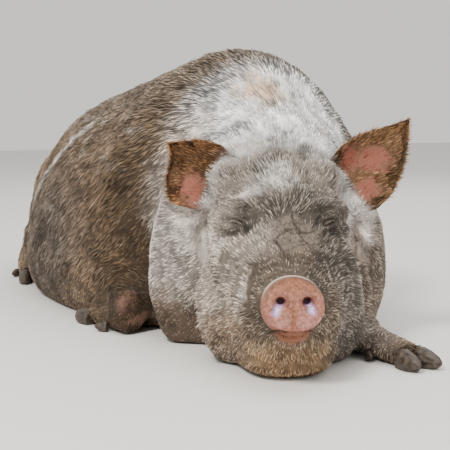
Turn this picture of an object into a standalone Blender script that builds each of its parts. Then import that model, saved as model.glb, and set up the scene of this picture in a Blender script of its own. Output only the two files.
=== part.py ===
"""A full-grown domestic pig lying on its chest, at life size, with its head turned to its right.

Metres, +Z up. The pig faces -Y, its left side is +X, and it rests on the plane Z = 0.
The origin is under the middle of the belly.
"""

import math

import bmesh
import bpy
from mathutils import Matrix, Vector
from mathutils.bvhtree import BVHTree

# The gap kept between neighbouring solids, and how finely the flesh is worked.
GAP = 0.0003
FINE_GRAIN = 0.005
COARSE_GRAIN = 0.009
DOUBLED = 1e-6
FINE_SMOOTHING = 16
COARSE_SMOOTHING = 4
FINE_TRIANGLES = 8400
COARSE_TRIANGLES = 6800

# The head is placed from the foot of its snout, turned from straight ahead.
SNOUT_FOOT = Vector((-0.193, -0.800, 0.0))
HEAD_TURN = math.radians(23)
FORWARD = Vector((-math.sin(HEAD_TURN), -math.cos(HEAD_TURN), 0.0))
LEFT = Vector((math.cos(HEAD_TURN), -math.sin(HEAD_TURN), 0.0))
UP = Vector((0.0, 0.0, 1.0))

# The snout's disc, the mouth, the eyes and the ears.
DISC_HEIGHT = 0.120
DISC_HALF_WIDTH = 0.044
DISC_RISE = 0.041
DISC_DROP = 0.037
DISC_TILT = math.radians(8)
DISC_THICKNESS = 0.018
NOSTRIL_SPREAD = 0.0202
NOSTRIL_RADII = (0.0085, 0.0100, 0.0240)
MOUTH_HEIGHT = 0.0785
MOUTH_SAG = 0.024
MOUTH_GROOVE = 0.0023
EYE_SPREAD = 0.0700
EYE_HEIGHT = 0.2138
EYE_RADIUS = 0.012
EYE_DEPTH = 0.0095
LID_RADIUS = 0.0158
LID_OPENING = (0.0098, 0.0042, 0.020)
EAR_LENGTH = 0.156
EAR_CUP = 0.027
EAR_RIDGE = 0.0016
EAR_THICKNESS = 0.0048

# Feet.
CLAW_LENGTH = 0.051
CLAW_HALF_WIDTH = 0.0138
CLAW_HEIGHT = 0.031
CLAW_CLEFT = 0.0030
DEWCLAW_SHARE = 0.5
DEWCLAW_SPREAD = 0.0235
DEWCLAW_HEIGHT = 0.0085

# Trunk stations from chest to tail: x, y, level of the widest point, half width, rise above it, drop below it.
TORSO = [
    (-0.020, -0.440, 0.150, 0.080, 0.140, 0.110),
    (-0.012, -0.392, 0.150, 0.150, 0.242, 0.175),
    (-0.005, -0.330, 0.125, 0.214, 0.336, 0.155),
    (0.000, -0.240, 0.095, 0.276, 0.401, 0.135),
    (0.000, -0.120, 0.080, 0.290, 0.400, 0.125),
    (0.000, 0.020, 0.075, 0.300, 0.380, 0.120),
    (0.004, 0.160, 0.075, 0.296, 0.360, 0.120),
    (0.014, 0.300, 0.082, 0.270, 0.338, 0.125),
    (0.028, 0.430, 0.100, 0.222, 0.300, 0.135),
    (0.042, 0.540, 0.120, 0.174, 0.256, 0.150),
    (0.054, 0.630, 0.140, 0.124, 0.194, 0.150),
    (0.060, 0.685, 0.150, 0.068, 0.112, 0.105),
]

# Neck stations from the shoulders to the poll, in the same order.
NECK = [
    (0.004, -0.240, 0.150, 0.190, 0.325, 0.180),
    (-0.008, -0.325, 0.145, 0.190, 0.306, 0.178),
    (-0.028, -0.380, 0.135, 0.184, 0.284, 0.168),
    (-0.050, -0.440, 0.125, 0.206, 0.260, 0.165),
    (-0.062, -0.485, 0.125, 0.196, 0.236, 0.155),
    (-0.076, -0.520, 0.130, 0.152, 0.205, 0.130),
]

# Head stations from the snout back to the poll: back, left, level of the widest point, half width, rise, drop.
MUZZLE = [
    (0.012, 0.0, 0.118, 0.037, 0.034, 0.030),
    (0.030, 0.0, 0.115, 0.046, 0.041, 0.040),
    (0.060, 0.0, 0.110, 0.066, 0.056, 0.060),
    (0.100, 0.0, 0.110, 0.082, 0.074, 0.085),
    (0.145, 0.0, 0.115, 0.096, 0.091, 0.105),
    (0.190, 0.0, 0.120, 0.106, 0.117, 0.112),
    (0.240, 0.0, 0.130, 0.112, 0.148, 0.122),
    (0.290, 0.0, 0.140, 0.116, 0.178, 0.132),
    (0.340, 0.0, 0.150, 0.120, 0.202, 0.137),
    (0.390, 0.0, 0.160, 0.110, 0.202, 0.132),
]
LOWER_JAW = [
    (0.022, 0.0, 0.064, 0.016, 0.008, 0.010),
    (0.034, 0.0, 0.060, 0.028, 0.013, 0.022),
    (0.056, 0.0, 0.054, 0.047, 0.022, 0.042),
    (0.090, 0.0, 0.052, 0.066, 0.030, 0.056),
    (0.150, 0.0, 0.060, 0.084, 0.050, 0.072),
    (0.220, 0.0, 0.070, 0.088, 0.060, 0.088),
]

# Rounded masses of the head, the left one of each pair: back, left, height, then radii along, across and up.
HEAD_PAIRS = {
    "jowl": ((0.222, 0.070, 0.082), (0.100, 0.062, 0.095)),
    "cheek": ((0.200, 0.074, 0.138), (0.068, 0.046, 0.060)),
    "flews": ((0.078, 0.050, 0.104), (0.042, 0.026, 0.042)),
    "brow": ((0.224, 0.058, 0.233), (0.044, 0.044, 0.022)),
    "ear_mound": ((0.316, 0.078, 0.270), (0.048, 0.028, 0.046)),
    "temple": ((0.262, 0.080, 0.206), (0.060, 0.034, 0.050)),
}
HEAD_SINGLES = {
    "throat": ((0.195, 0.0, 0.052), (0.125, 0.102, 0.070)),
    "forehead": ((0.250, 0.0, 0.222), (0.075, 0.074, 0.058)),
}
LOWER_LIP = ((0.022, 0.0, 0.0652), (0.013, 0.0220, 0.0105))

# Rounded masses of the body, the left one of each pair: x, y, height, then radii across, along and up.
BODY_PAIRS = {
    "shoulder": ((0.170, -0.215, 0.225), (0.080, 0.115, 0.150)),
    "ham": ((0.126, 0.450, 0.152), (0.080, 0.170, 0.142)),
    "stifle": ((0.234, 0.255, 0.095), (0.058, 0.085, 0.080)),
}
BODY_SHIFT = 0.012
HIP_SHIFT = 0.010

# Limb stations: x, y, z, then half width across and half height.
LEFT_FORELEG = [
    (0.185, -0.190, 0.150, 0.060, 0.085),
    (0.162, -0.300, 0.095, 0.056, 0.070),
    (0.116, -0.420, 0.050, 0.044, 0.048),
    (0.068, -0.525, 0.034, 0.036, 0.037),
    (0.037, -0.605, 0.029, 0.034, 0.033),
    (0.033, -0.665, 0.023, 0.028, 0.026),
    (0.037, -0.712, 0.021, 0.029, 0.024),
    (0.041, -0.742, 0.019, 0.028, 0.020),
]
RIGHT_UPPER_ARM = [
    (-0.205, -0.170, 0.170, 0.048, 0.070),
    (-0.230, -0.170, 0.115, 0.048, 0.060),
    (-0.236, -0.235, 0.085, 0.042, 0.052),
    (-0.242, -0.290, 0.060, 0.038, 0.044),
    (-0.246, -0.325, 0.040, 0.036, 0.040),
]
RIGHT_CANNON = [
    (-0.252, -0.328, 0.034, 0.035, 0.036),
    (-0.260, -0.285, 0.027, 0.028, 0.029),
    (-0.268, -0.235, 0.025, 0.026, 0.026),
    (-0.272, -0.200, 0.024, 0.027, 0.024),
]
SHANK = [
    (0.232, 0.245, 0.085, 0.040, 0.060),
    (0.220, 0.360, 0.072, 0.042, 0.050),
    (0.200, 0.470, 0.058, 0.032, 0.040),
    (0.186, 0.556, 0.046, 0.026, 0.036),
]
HIND_CANNON = [
    (0.190, 0.560, 0.040, 0.026, 0.034),
    (0.212, 0.500, 0.030, 0.026, 0.030),
    (0.234, 0.420, 0.027, 0.025, 0.027),
    (0.248, 0.350, 0.025, 0.026, 0.026),
    (0.253, 0.318, 0.023, 0.027, 0.023),
]
TAIL = [
    (0.048, 0.640, 0.265, 0.016, 0.016),
    (0.050, 0.690, 0.268, 0.014, 0.014),
    (0.058, 0.728, 0.246, 0.012, 0.012),
    (0.078, 0.742, 0.206, 0.010, 0.010),
    (0.098, 0.726, 0.172, 0.008, 0.008),
    (0.092, 0.700, 0.146, 0.0068, 0.0068),
    (0.068, 0.704, 0.126, 0.0058, 0.0058),
    (0.058, 0.722, 0.098, 0.0060, 0.0060),
    (0.062, 0.734, 0.066, 0.0026, 0.0026),
]

# The ears' margins, as shares of their length: distance from the root, then how far each margin lies off the middle.
LEFT_EAR_UPPER = [(0.0, 0.150), (0.20, 0.225), (0.45, 0.210), (0.70, 0.112), (0.90, 0.040), (1.0, 0.008)]
LEFT_EAR_LOWER = [(0.0, 0.440), (0.10, 0.535), (0.30, 0.515), (0.57, 0.400), (0.80, 0.215), (1.0, 0.008)]
RIGHT_EAR_UPPER = [(0.0, 0.175), (0.22, 0.215), (0.50, 0.155), (0.75, 0.085), (0.92, 0.040), (1.0, 0.008)]
RIGHT_EAR_LOWER = [(0.0, 0.420), (0.15, 0.510), (0.38, 0.545), (0.57, 0.520), (0.70, 0.400), (0.78, 0.150), (1.0, 0.008)]

SKIN_COLOUR = (0.42, 0.35, 0.30, 1.0)
SNOUT_COLOUR = (0.72, 0.42, 0.36, 1.0)
HOOF_COLOUR = (0.16, 0.13, 0.11, 1.0)
EYE_COLOUR = (0.05, 0.03, 0.02, 1.0)


def clear_scene():
    for obj in list(bpy.data.objects):
        bpy.data.objects.remove(obj, do_unlink=True)


def material(name, colour, roughness):
    made = bpy.data.materials.new(name)
    made.use_nodes = True
    shader = made.node_tree.nodes["Principled BSDF"]
    shader.inputs["Base Color"].default_value = colour
    shader.inputs["Roughness"].default_value = roughness
    shader.inputs["Metallic"].default_value = 0.0
    made.diffuse_color = colour
    return made


def new_object(name, mesh, collection):
    obj = bpy.data.objects.new(name, mesh)
    collection.objects.link(obj)
    return obj


def mesh_of(bm, name):
    mesh = bpy.data.meshes.new(name)
    bm.to_mesh(mesh)
    bm.free()
    return mesh


def in_head(back, left, height):
    """A point given in the head's own directions."""
    return SNOUT_FOOT - FORWARD * back + LEFT * left + UP * height


def smooth_rows(rows, steps):
    """More rows between the given ones, on a smooth curve through them."""
    found = []
    for i in range(len(rows) - 1):
        before = rows[max(i - 1, 0)]
        after = rows[min(i + 2, len(rows) - 1)]
        for k in range(steps):
            t = k / steps
            row = []
            for p0, p1, p2, p3 in zip(before, rows[i], rows[i + 1], after):
                slope_1 = (p2 - p0) / 2
                slope_2 = (p3 - p1) / 2
                rise = p2 - p1
                bend = 3 * rise - 2 * slope_1 - slope_2
                twist = slope_1 + slope_2 - 2 * rise
                row.append(p1 + t * (slope_1 + t * (bend + t * twist)))
            found.append(tuple(row))
    found.append(tuple(rows[-1]))
    return found


def signed_power(value, power):
    return math.copysign(abs(value) ** power, value)


def add_loft(bm, stations, sides=40, steps=4, upright=True, low_power=3.0):
    """Adds a closed tube of oval rings. A station is centre x, y, z, half width, rise and drop.

    An upright ring stands vertical. Any other ring is square to the path.
    """
    rows = smooth_rows(stations, steps)
    centres = [Vector(row[:3]) for row in rows]
    rings = []
    for i, row in enumerate(rows):
        along = centres[min(i + 1, len(rows) - 1)] - centres[max(i - 1, 0)]
        if upright:
            along.z = 0.0
        along.normalize()
        across = along.cross(UP).normalized()
        rise_way = across.cross(along).normalized()
        half_width, rise, drop = row[3:]
        ring = []
        for k in range(sides):
            angle = 2 * math.pi * k / sides
            power = 1.0 if math.sin(angle) >= 0 else 2.0 / low_power
            side = half_width * signed_power(math.cos(angle), power)
            lift = signed_power(math.sin(angle), power)
            lift *= rise if lift > 0 else drop
            ring.append(bm.verts.new(centres[i] + across * side + rise_way * lift))
        rings.append(ring)
    for ring, following in zip(rings, rings[1:]):
        for k in range(sides):
            n = (k + 1) % sides
            bm.faces.new((ring[k], ring[n], following[n], following[k]))
    bm.faces.new(list(reversed(rings[0])))
    bm.faces.new(rings[-1])


def add_limb(bm, stations, sides=20):
    add_loft(bm, [(*row, row[-1]) for row in stations], sides, upright=False, low_power=2.0)


def add_ellipsoid(bm, centre, axes, radii, segments=28, rings=16):
    turn = Matrix((axes[0], axes[1], axes[2])).transposed().to_4x4()
    place = Matrix.Translation(centre) @ turn @ Matrix.Diagonal((*radii, 1.0))
    bmesh.ops.create_uvsphere(bm, u_segments=segments, v_segments=rings, radius=1.0, matrix=place)


def on_side(stations, side):
    """The stations of a limb drawn on the left, moved to the trunk's left or right flank."""
    return [(side * row[0] + HIP_SHIFT, *row[1:]) for row in stations]


def head_stations(rows):
    return [(*in_head(back, left, level), *sizes) for back, left, level, *sizes in rows]


def flesh_masses():
    """All the soft masses of the animal, still overlapping, in one mesh."""
    bm = bmesh.new()
    add_loft(bm, TORSO, sides=64)
    add_loft(bm, NECK, sides=56)
    add_loft(bm, head_stations(MUZZLE), sides=48)
    add_loft(bm, head_stations(LOWER_JAW), sides=40)
    head_axes = (-FORWARD, LEFT, UP)
    for (back, left, height), radii in HEAD_PAIRS.values():
        for side in (-1, 1):
            add_ellipsoid(bm, in_head(back, side * left, height), head_axes, radii)
    for (back, left, height), radii in HEAD_SINGLES.values():
        add_ellipsoid(bm, in_head(back, left, height), head_axes, radii)
    body_axes = (Vector((1, 0, 0)), Vector((0, 1, 0)), UP)
    for (x, y, z), radii in BODY_PAIRS.values():
        for side in (-1, 1):
            add_ellipsoid(bm, Vector((side * x + BODY_SHIFT, y, z)), body_axes, radii)
    for limb in (LEFT_FORELEG, RIGHT_UPPER_ARM, RIGHT_CANNON):
        add_limb(bm, limb)
    for limb in (SHANK, HIND_CANNON):
        for side in (-1, 1):
            add_limb(bm, on_side(limb, side))
    bmesh.ops.recalc_face_normals(bm, faces=bm.faces)
    return mesh_of(bm, "flesh_masses")


def evaluated_mesh(obj, name):
    graph = bpy.context.evaluated_depsgraph_get()
    return bpy.data.meshes.new_from_object(obj.evaluated_get(graph), depsgraph=graph)


def settle(obj):
    """Applies the object's modifiers."""
    bpy.context.view_layer.update()
    mesh = evaluated_mesh(obj, obj.name)
    obj.modifiers.clear()
    obj.data = mesh


def triangle_count(mesh):
    return sum(len(face.vertices) - 2 for face in mesh.polygons)


def fused_flesh(name, masses, grain, smoothing, triangles, collection):
    """The masses grown together into one smooth surface."""
    obj = new_object(name, masses.copy(), collection)
    remesh = obj.modifiers.new("Grow together", "REMESH")
    remesh.mode = "VOXEL"
    remesh.voxel_size = grain
    smooth = obj.modifiers.new("Smooth", "SMOOTH")
    smooth.factor = 0.5
    smooth.iterations = smoothing
    settle(obj)
    decimate = obj.modifiers.new("Fewer faces", "DECIMATE")
    decimate.ratio = min(1.0, triangles / triangle_count(obj.data))
    settle(obj)
    return obj


def keep_largest(obj):
    """Joins doubled points and drops every loose scrap that a cut leaves beside the main surface."""
    bm = bmesh.new()
    bm.from_mesh(obj.data)
    bmesh.ops.remove_doubles(bm, verts=bm.verts, dist=DOUBLED)
    bm.verts.ensure_lookup_table()
    seen = set()
    islands = []
    for start in bm.verts:
        if start in seen:
            continue
        island = [start]
        seen.add(start)
        for vert in island:
            for edge in vert.link_edges:
                other = edge.other_vert(vert)
                if other not in seen:
                    seen.add(other)
                    island.append(other)
        islands.append(island)
    islands.sort(key=len, reverse=True)
    for island in islands[1:]:
        bmesh.ops.delete(bm, geom=island, context="VERTS")
    bm.to_mesh(obj.data)
    bm.free()


def combine(obj, other, operation):
    """One Boolean with another object, applied."""
    boolean = obj.modifiers.new("Boolean", "BOOLEAN")
    boolean.operation = operation
    boolean.solver = "EXACT"
    boolean.object = other
    settle(obj)
    keep_largest(obj)


def grown(obj, distance, collection):
    """A copy whose surface stands out by a distance, to cut the bed of a piece."""
    bm = bmesh.new()
    bm.from_mesh(obj.data)
    bm.normal_update()
    moves = [(vert, vert.normal * distance) for vert in bm.verts]
    for vert, move in moves:
        vert.co += move
    return new_object(obj.name + "_bed", mesh_of(bm, obj.name + "_bed"), collection)


def block(name, corners_low, corners_high, place, collection, grow=0.0):
    """A box between two corners in its own directions, put in place by a matrix."""
    low = Vector(corners_low) - Vector((grow, grow, grow))
    high = Vector(corners_high) + Vector((grow, grow, grow))
    bm = bmesh.new()
    size = high - low
    shape = place @ Matrix.Translation((low + high) / 2) @ Matrix.Diagonal((*size, 1.0))
    bmesh.ops.create_cube(bm, size=1.0, matrix=shape)
    return new_object(name, mesh_of(bm, name), collection)


def turned(x, y, z, turn):
    return Matrix.Translation((x, y, z)) @ Matrix.Rotation(turn, 4, "Z")


# Where the animal is parted: a low and a high corner in directions turned at a place.
BIG = 2.0
HEAD_PLACE = turned(*in_head(0.332, 0.0, 0.0), -HEAD_TURN)
NECK_PLACE = turned(-0.010, -0.345, 0.0, -math.radians(9))
PARTINGS = {
    "head": ((-BIG, -BIG, -0.5), (BIG, 0.0, BIG), HEAD_PLACE),
    "neck": ((-BIG, -BIG, -0.5), (BIG, 0.0, BIG), NECK_PLACE),
    "foreleg_left": ((-0.047, -0.46, -0.1), (0.20, 0.24, 0.074), turned(0.110, -0.40, 0.0, -math.radians(14))),
    "foreleg_right": ((-0.30, -0.165, -0.1), (0.0, 0.13, 0.150), turned(-0.196, -0.225, 0.0, 0.0)),
    "hindleg_left": ((0.0, -0.16, -0.1), (0.30, 0.40, 0.215), turned(0.176, 0.330, 0.0, 0.0)),
    "hindleg_right": ((-0.30, -0.16, -0.1), (0.0, 0.40, 0.215), turned(-0.170, 0.330, 0.0, 0.0)),
}
LEGS = ("foreleg_left", "foreleg_right", "hindleg_left", "hindleg_right")


def parting(name, collection, grow=0.0):
    low, high, place = PARTINGS[name]
    return block("parting_" + name, low, high, place, collection, grow)


def cut_floor(obj, collection):
    floor = block("floor", (-BIG, -BIG, -1.0), (BIG, BIG, 0.0), Matrix.Identity(4), collection)
    combine(obj, floor, "DIFFERENCE")
    for vert in obj.data.vertices:
        if abs(vert.co.z) < GAP / 3:
            vert.co.z = 0.0


def copy_of(obj, name, collection):
    return new_object(name, obj.data.copy(), collection)


def divide(fine, coarse, nodes, helpers):
    """Parts the flesh into head, neck, torso and legs, with a thin gap between them."""
    head = copy_of(fine, "head", nodes)
    combine(head, parting("head", helpers), "INTERSECT")
    legs = {}
    for name in LEGS:
        leg = copy_of(coarse, name, nodes)
        combine(leg, parting(name, helpers), "INTERSECT")
        legs[name] = leg
        bed = parting(name, helpers, GAP)
        combine(coarse, bed, "DIFFERENCE")
        if name == "foreleg_left":
            combine(head, bed, "DIFFERENCE")
    combine(coarse, parting("head", helpers, GAP), "DIFFERENCE")
    neck = copy_of(coarse, "neck", nodes)
    combine(neck, parting("neck", helpers), "INTERSECT")
    torso = copy_of(coarse, "torso", nodes)
    combine(torso, parting("neck", helpers, GAP), "DIFFERENCE")
    return head, neck, torso, legs


def disc_directions():
    out = (FORWARD * math.cos(DISC_TILT) + UP * math.sin(DISC_TILT)).normalized()
    rise = LEFT.cross(out).normalized()
    if rise.z < 0:
        rise = -rise
    return out, rise


def make_snout(nodes):
    """The snout's disc: a flat oval plate with a rounded rim and a faint dome."""
    out, rise = disc_directions()
    centre = in_head(0.0, 0.0, DISC_HEIGHT)
    bm = bmesh.new()
    rows = []
    profile = ((0.0040, 0.30), (0.0034, 0.66), (0.0016, 0.90), (-0.0020, 1.0), (-0.0080, 0.97), (-DISC_THICKNESS, 0.86))
    for offset, share in profile:
        place = centre + out * offset
        rows.append((*place, DISC_HALF_WIDTH * share, DISC_RISE * share, DISC_DROP * share))
    add_loft(bm, rows, sides=32, steps=1, upright=False, low_power=2.25)
    bmesh.ops.recalc_face_normals(bm, faces=bm.faces)
    return new_object("snout", mesh_of(bm, "snout"), nodes)


def nostril_cutter(side, helpers):
    out, rise = disc_directions()
    inward = (out + LEFT * side * 0.28 + rise * -0.10).normalized()
    across = rise.cross(inward).normalized()
    upward = inward.cross(across).normalized()
    centre = in_head(0.0, side * NOSTRIL_SPREAD, DISC_HEIGHT) - out * 0.006
    bm = bmesh.new()
    add_ellipsoid(bm, centre, (across, upward, inward), NOSTRIL_RADII, 14, 8)
    slit = centre + LEFT * side * 0.006 - rise * 0.006 + out * 0.006
    bmesh.ops.recalc_face_normals(bm, faces=bm.faces)
    cutter = new_object("nostril", mesh_of(bm, "nostril"), helpers)
    bm = bmesh.new()
    add_ellipsoid(bm, slit, (across, upward, inward), (0.0060, 0.0050, 0.0085), 10, 6)
    bmesh.ops.recalc_face_normals(bm, faces=bm.faces)
    wing = new_object("nostril_wing", mesh_of(bm, "nostril_wing"), helpers)
    combine(cutter, wing, "UNION")
    return cutter


def mouth_path(head):
    """Points on the face along the line of the mouth, from corner to corner."""
    tree = BVHTree.FromPolygons(
        [vert.co for vert in head.data.vertices],
        [face.vertices for face in head.data.polygons],
    )
    centre_back = 0.105
    widest = math.radians(82)
    count = 25
    points = []
    for i in range(count):
        angle = widest * (2 * i / (count - 1) - 1)
        height = MOUTH_HEIGHT - MOUTH_SAG * math.sin(min(abs(angle) * 1.25, math.pi / 2)) ** 2
        height += 0.010 * max(0.0, abs(angle) / widest - 0.7)
        way = FORWARD * math.cos(angle) + LEFT * math.sin(angle)
        start = in_head(centre_back, 0.0, height) + way * 0.4
        hit = tree.ray_cast(start, -way)[0]
        points.append(hit)
    return points


def tube(name, points, radius, helpers):
    """A closed tube through points, as a mesh."""
    bm = bmesh.new()
    rows = [(*point, radius, radius) for point in points]
    add_loft(bm, [(*row, row[-1]) for row in rows], sides=8, steps=1, upright=False, low_power=2.0)
    bmesh.ops.recalc_face_normals(bm, faces=bm.faces)
    return new_object(name, mesh_of(bm, name), helpers)


def eye_place(head, side):
    """The middle of an eyeball, set into the face behind where the eye shows, and the way it looks."""
    tree = BVHTree.FromPolygons(
        [vert.co for vert in head.data.vertices],
        [face.vertices for face in head.data.polygons],
    )
    start = in_head(-0.2, side * EYE_SPREAD, EYE_HEIGHT)
    on_face = tree.ray_cast(start, -FORWARD)[0]
    look = (FORWARD * 0.82 + LEFT * side * 0.50 + UP * 0.12).normalized()
    return on_face - look * EYE_DEPTH, look


def ball(name, centre, axes, radii, collection, segments=20, rings=12):
    bm = bmesh.new()
    add_ellipsoid(bm, centre, axes, radii, segments, rings)
    bmesh.ops.recalc_face_normals(bm, faces=bm.faces)
    return new_object(name, mesh_of(bm, name), collection)


def set_eye(head, side, nodes, helpers):
    """Raises the lids, cuts the slit between them and the bed of the eyeball, and makes the eyeball."""
    centre, look = eye_place(head, side)
    across = look.cross(UP).normalized()
    slant = math.radians(12) * side
    across = Matrix.Rotation(slant, 3, look) @ across
    upward = across.cross(look).normalized()
    axes = (across, upward, look)
    lids = ball("lids", centre, axes, (LID_RADIUS * 1.12, LID_RADIUS * 0.94, LID_RADIUS), helpers, 18, 12)
    combine(head, lids, "UNION")
    slit_centre = centre + look * (EYE_RADIUS + 0.004)
    slit = ball("slit", slit_centre, axes, LID_OPENING, helpers, 20, 12)
    combine(head, slit, "DIFFERENCE")
    bed = ball("bed", centre, axes, (EYE_RADIUS + GAP * 1.5,) * 3, helpers, 18, 10)
    combine(head, bed, "DIFFERENCE")
    side_name = "left" if side > 0 else "right"
    return ball("eye_" + side_name, centre, axes, (EYE_RADIUS,) * 3, nodes, 18, 10)


def margin(rows, share):
    """The margin's distance from the middle at a share of the ear's length."""
    for (s0, w0), (s1, w1) in zip(rows, rows[1:]):
        if share <= s1:
            t = (share - s0) / (s1 - s0)
            ease = t * t * (3 - 2 * t)
            return w0 + (w1 - w0) * (0.5 * t + 0.5 * ease)
    return rows[-1][1]


def make_ear(name, root, tip_way, face_way, bend, length, upper, lower, nodes):
    """A hollow, pointed ear: a curved sheet given its thickness, thinner towards the margins.

    The tables upper and lower give its two margins.
    """
    along = tip_way.normalized()
    facing = (face_way - along * face_way.dot(along)).normalized()
    upper_way = facing.cross(along).normalized()
    if upper_way.z < 0:
        upper_way = -upper_way
    lengths, widths = 12, 9
    bm = bmesh.new()
    layer = []
    for i in range(lengths + 1):
        share = -0.10 + 1.10 * i / lengths
        held = max(share, 0.0)
        angle = bend * held
        reach = math.sin(angle) / bend if abs(bend) > 1e-6 else held
        fall = (1 - math.cos(angle)) / bend if abs(bend) > 1e-6 else 0.0
        reach += min(share, 0.0)
        spine = root + (along * reach - facing * fall) * length
        high = margin(upper, held)
        low = margin(lower, held)
        depth = EAR_CUP * (1.0 - 0.55 * held)
        row = []
        for k in range(widths + 1):
            t = -1 + 2 * k / widths
            off = high * t if t > 0 else low * t
            hollow = depth * (1 - t * t)
            ridge = EAR_RIDGE * math.cos(3.0 * math.pi * t) * (1 - held)
            point = spine + upper_way * off * EAR_LENGTH - facing * (hollow + ridge)
            row.append(bm.verts.new(point))
        layer.append(row)
    for row, following in zip(layer, layer[1:]):
        for k in range(widths):
            bm.faces.new((row[k], row[k + 1], following[k + 1], following[k]))
    bmesh.ops.triangulate(bm, faces=bm.faces)
    thick = []
    for i, row in enumerate(layer):
        for k, vert in enumerate(row):
            edge = min(k, widths - k, lengths - i) / 3.0
            thick.append((vert, min(1.0, 0.45 + 0.55 * edge)))
    bm.verts.index_update()
    shares = {vert.index: share for vert, share in thick}
    obj = new_object(name, mesh_of(bm, name), nodes)
    group = obj.vertex_groups.new(name="thickness")
    for index, share in shares.items():
        group.add([index], share, "REPLACE")
    solid = obj.modifiers.new("Thickness", "SOLIDIFY")
    solid.thickness = EAR_THICKNESS
    solid.offset = 0.0
    solid.vertex_group = "thickness"
    solid.thickness_vertex_group = 0.2
    settle(obj)
    bm = bmesh.new()
    bm.from_mesh(obj.data)
    bmesh.ops.recalc_face_normals(bm, faces=bm.faces)
    bm.to_mesh(obj.data)
    bm.free()
    return obj


def make_ears(nodes):
    left_root = in_head(0.300, 0.094, 0.276)
    right_root = in_head(0.300, -0.083, 0.288)
    left = make_ear(
        "ear_left",
        left_root,
        LEFT * 0.79 + UP * 0.60 - FORWARD * 0.06,
        FORWARD * 0.96 + LEFT * -0.05 + UP * 0.05,
        0.25,
        EAR_LENGTH,
        LEFT_EAR_UPPER,
        LEFT_EAR_LOWER,
        nodes,
    )
    right = make_ear(
        "ear_right",
        right_root,
        LEFT * -0.86 + UP * 0.44 + FORWARD * 0.12,
        FORWARD * 0.96 + LEFT * 0.10 + UP * 0.05,
        1.2,
        EAR_LENGTH * 0.74,
        RIGHT_EAR_UPPER,
        RIGHT_EAR_LOWER,
        nodes,
    )
    return left, right


def claw_mesh(tip_way, root, share, collection, name):
    """One claw: a blunt half-cone, flat underneath where it meets the ground."""
    side = tip_way.cross(UP).normalized()
    bm = bmesh.new()
    rows = []
    profile = ((0.0, 0.80, 0.94), (0.25, 1.0, 1.0), (0.55, 0.94, 0.80), (0.82, 0.66, 0.52), (1.0, 0.20, 0.20))
    for reach, wide, tall in profile:
        centre = root + tip_way * (reach * CLAW_LENGTH * share)
        half = CLAW_HALF_WIDTH * share * wide
        height = CLAW_HEIGHT * share * tall
        rows.append((*centre, half, height * 0.62, height * 0.62))
    add_loft(bm, rows, sides=10, steps=1, upright=False, low_power=2.6)
    bmesh.ops.recalc_face_normals(bm, faces=bm.faces)
    return new_object(name, mesh_of(bm, name), collection)


def make_claws(leg, stations, label, nodes, helpers):
    """Two claws at the toe and two dewclaws behind, each bedded in the leg."""
    end = Vector(stations[-1][:3])
    before = Vector(stations[-3][:3])
    way = end - before
    way.z = 0.0
    way.normalize()
    side = way.cross(UP).normalized()
    places = []
    for hand, word in ((1, "outer"), (-1, "inner")):
        spread = side * hand * (CLAW_HALF_WIDTH + CLAW_CLEFT / 2)
        toe = end + spread - way * 0.010
        toe.z = CLAW_HEIGHT * 0.36
        aim = (way + side * hand * 0.10).normalized()
        places.append((f"claw_{label}_{word}", toe, aim, 1.0))
        dew = before + side * hand * DEWCLAW_SPREAD
        dew.z = DEWCLAW_HEIGHT
        aim = (way + side * hand * 0.6).normalized()
        places.append((f"dewclaw_{label}_{word}", dew, aim, DEWCLAW_SHARE))
    made = []
    for name, root, aim, share in places:
        claw = claw_mesh(aim, root, share, nodes, name)
        cut_floor(claw, helpers)
        combine(leg, grown(claw, GAP * 2.2, helpers), "DIFFERENCE")
        made.append(claw)
    return made


def make_tail(torso, nodes, helpers):
    bm = bmesh.new()
    add_loft(bm, [(*row, row[-1]) for row in TAIL], 10, 3, False, 2.0)
    bmesh.ops.recalc_face_normals(bm, faces=bm.faces)
    tail = new_object("tail", mesh_of(bm, "tail"), nodes)
    combine(torso, grown(tail, GAP * 1.3, helpers), "DIFFERENCE")
    return tail


def finish(obj, look):
    obj.data.materials.clear()
    obj.data.materials.append(look)
    for face in obj.data.polygons:
        face.material_index = 0
    obj.data.shade_smooth()
    obj.data.set_sharp_from_angle(angle=math.radians(50))


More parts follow.
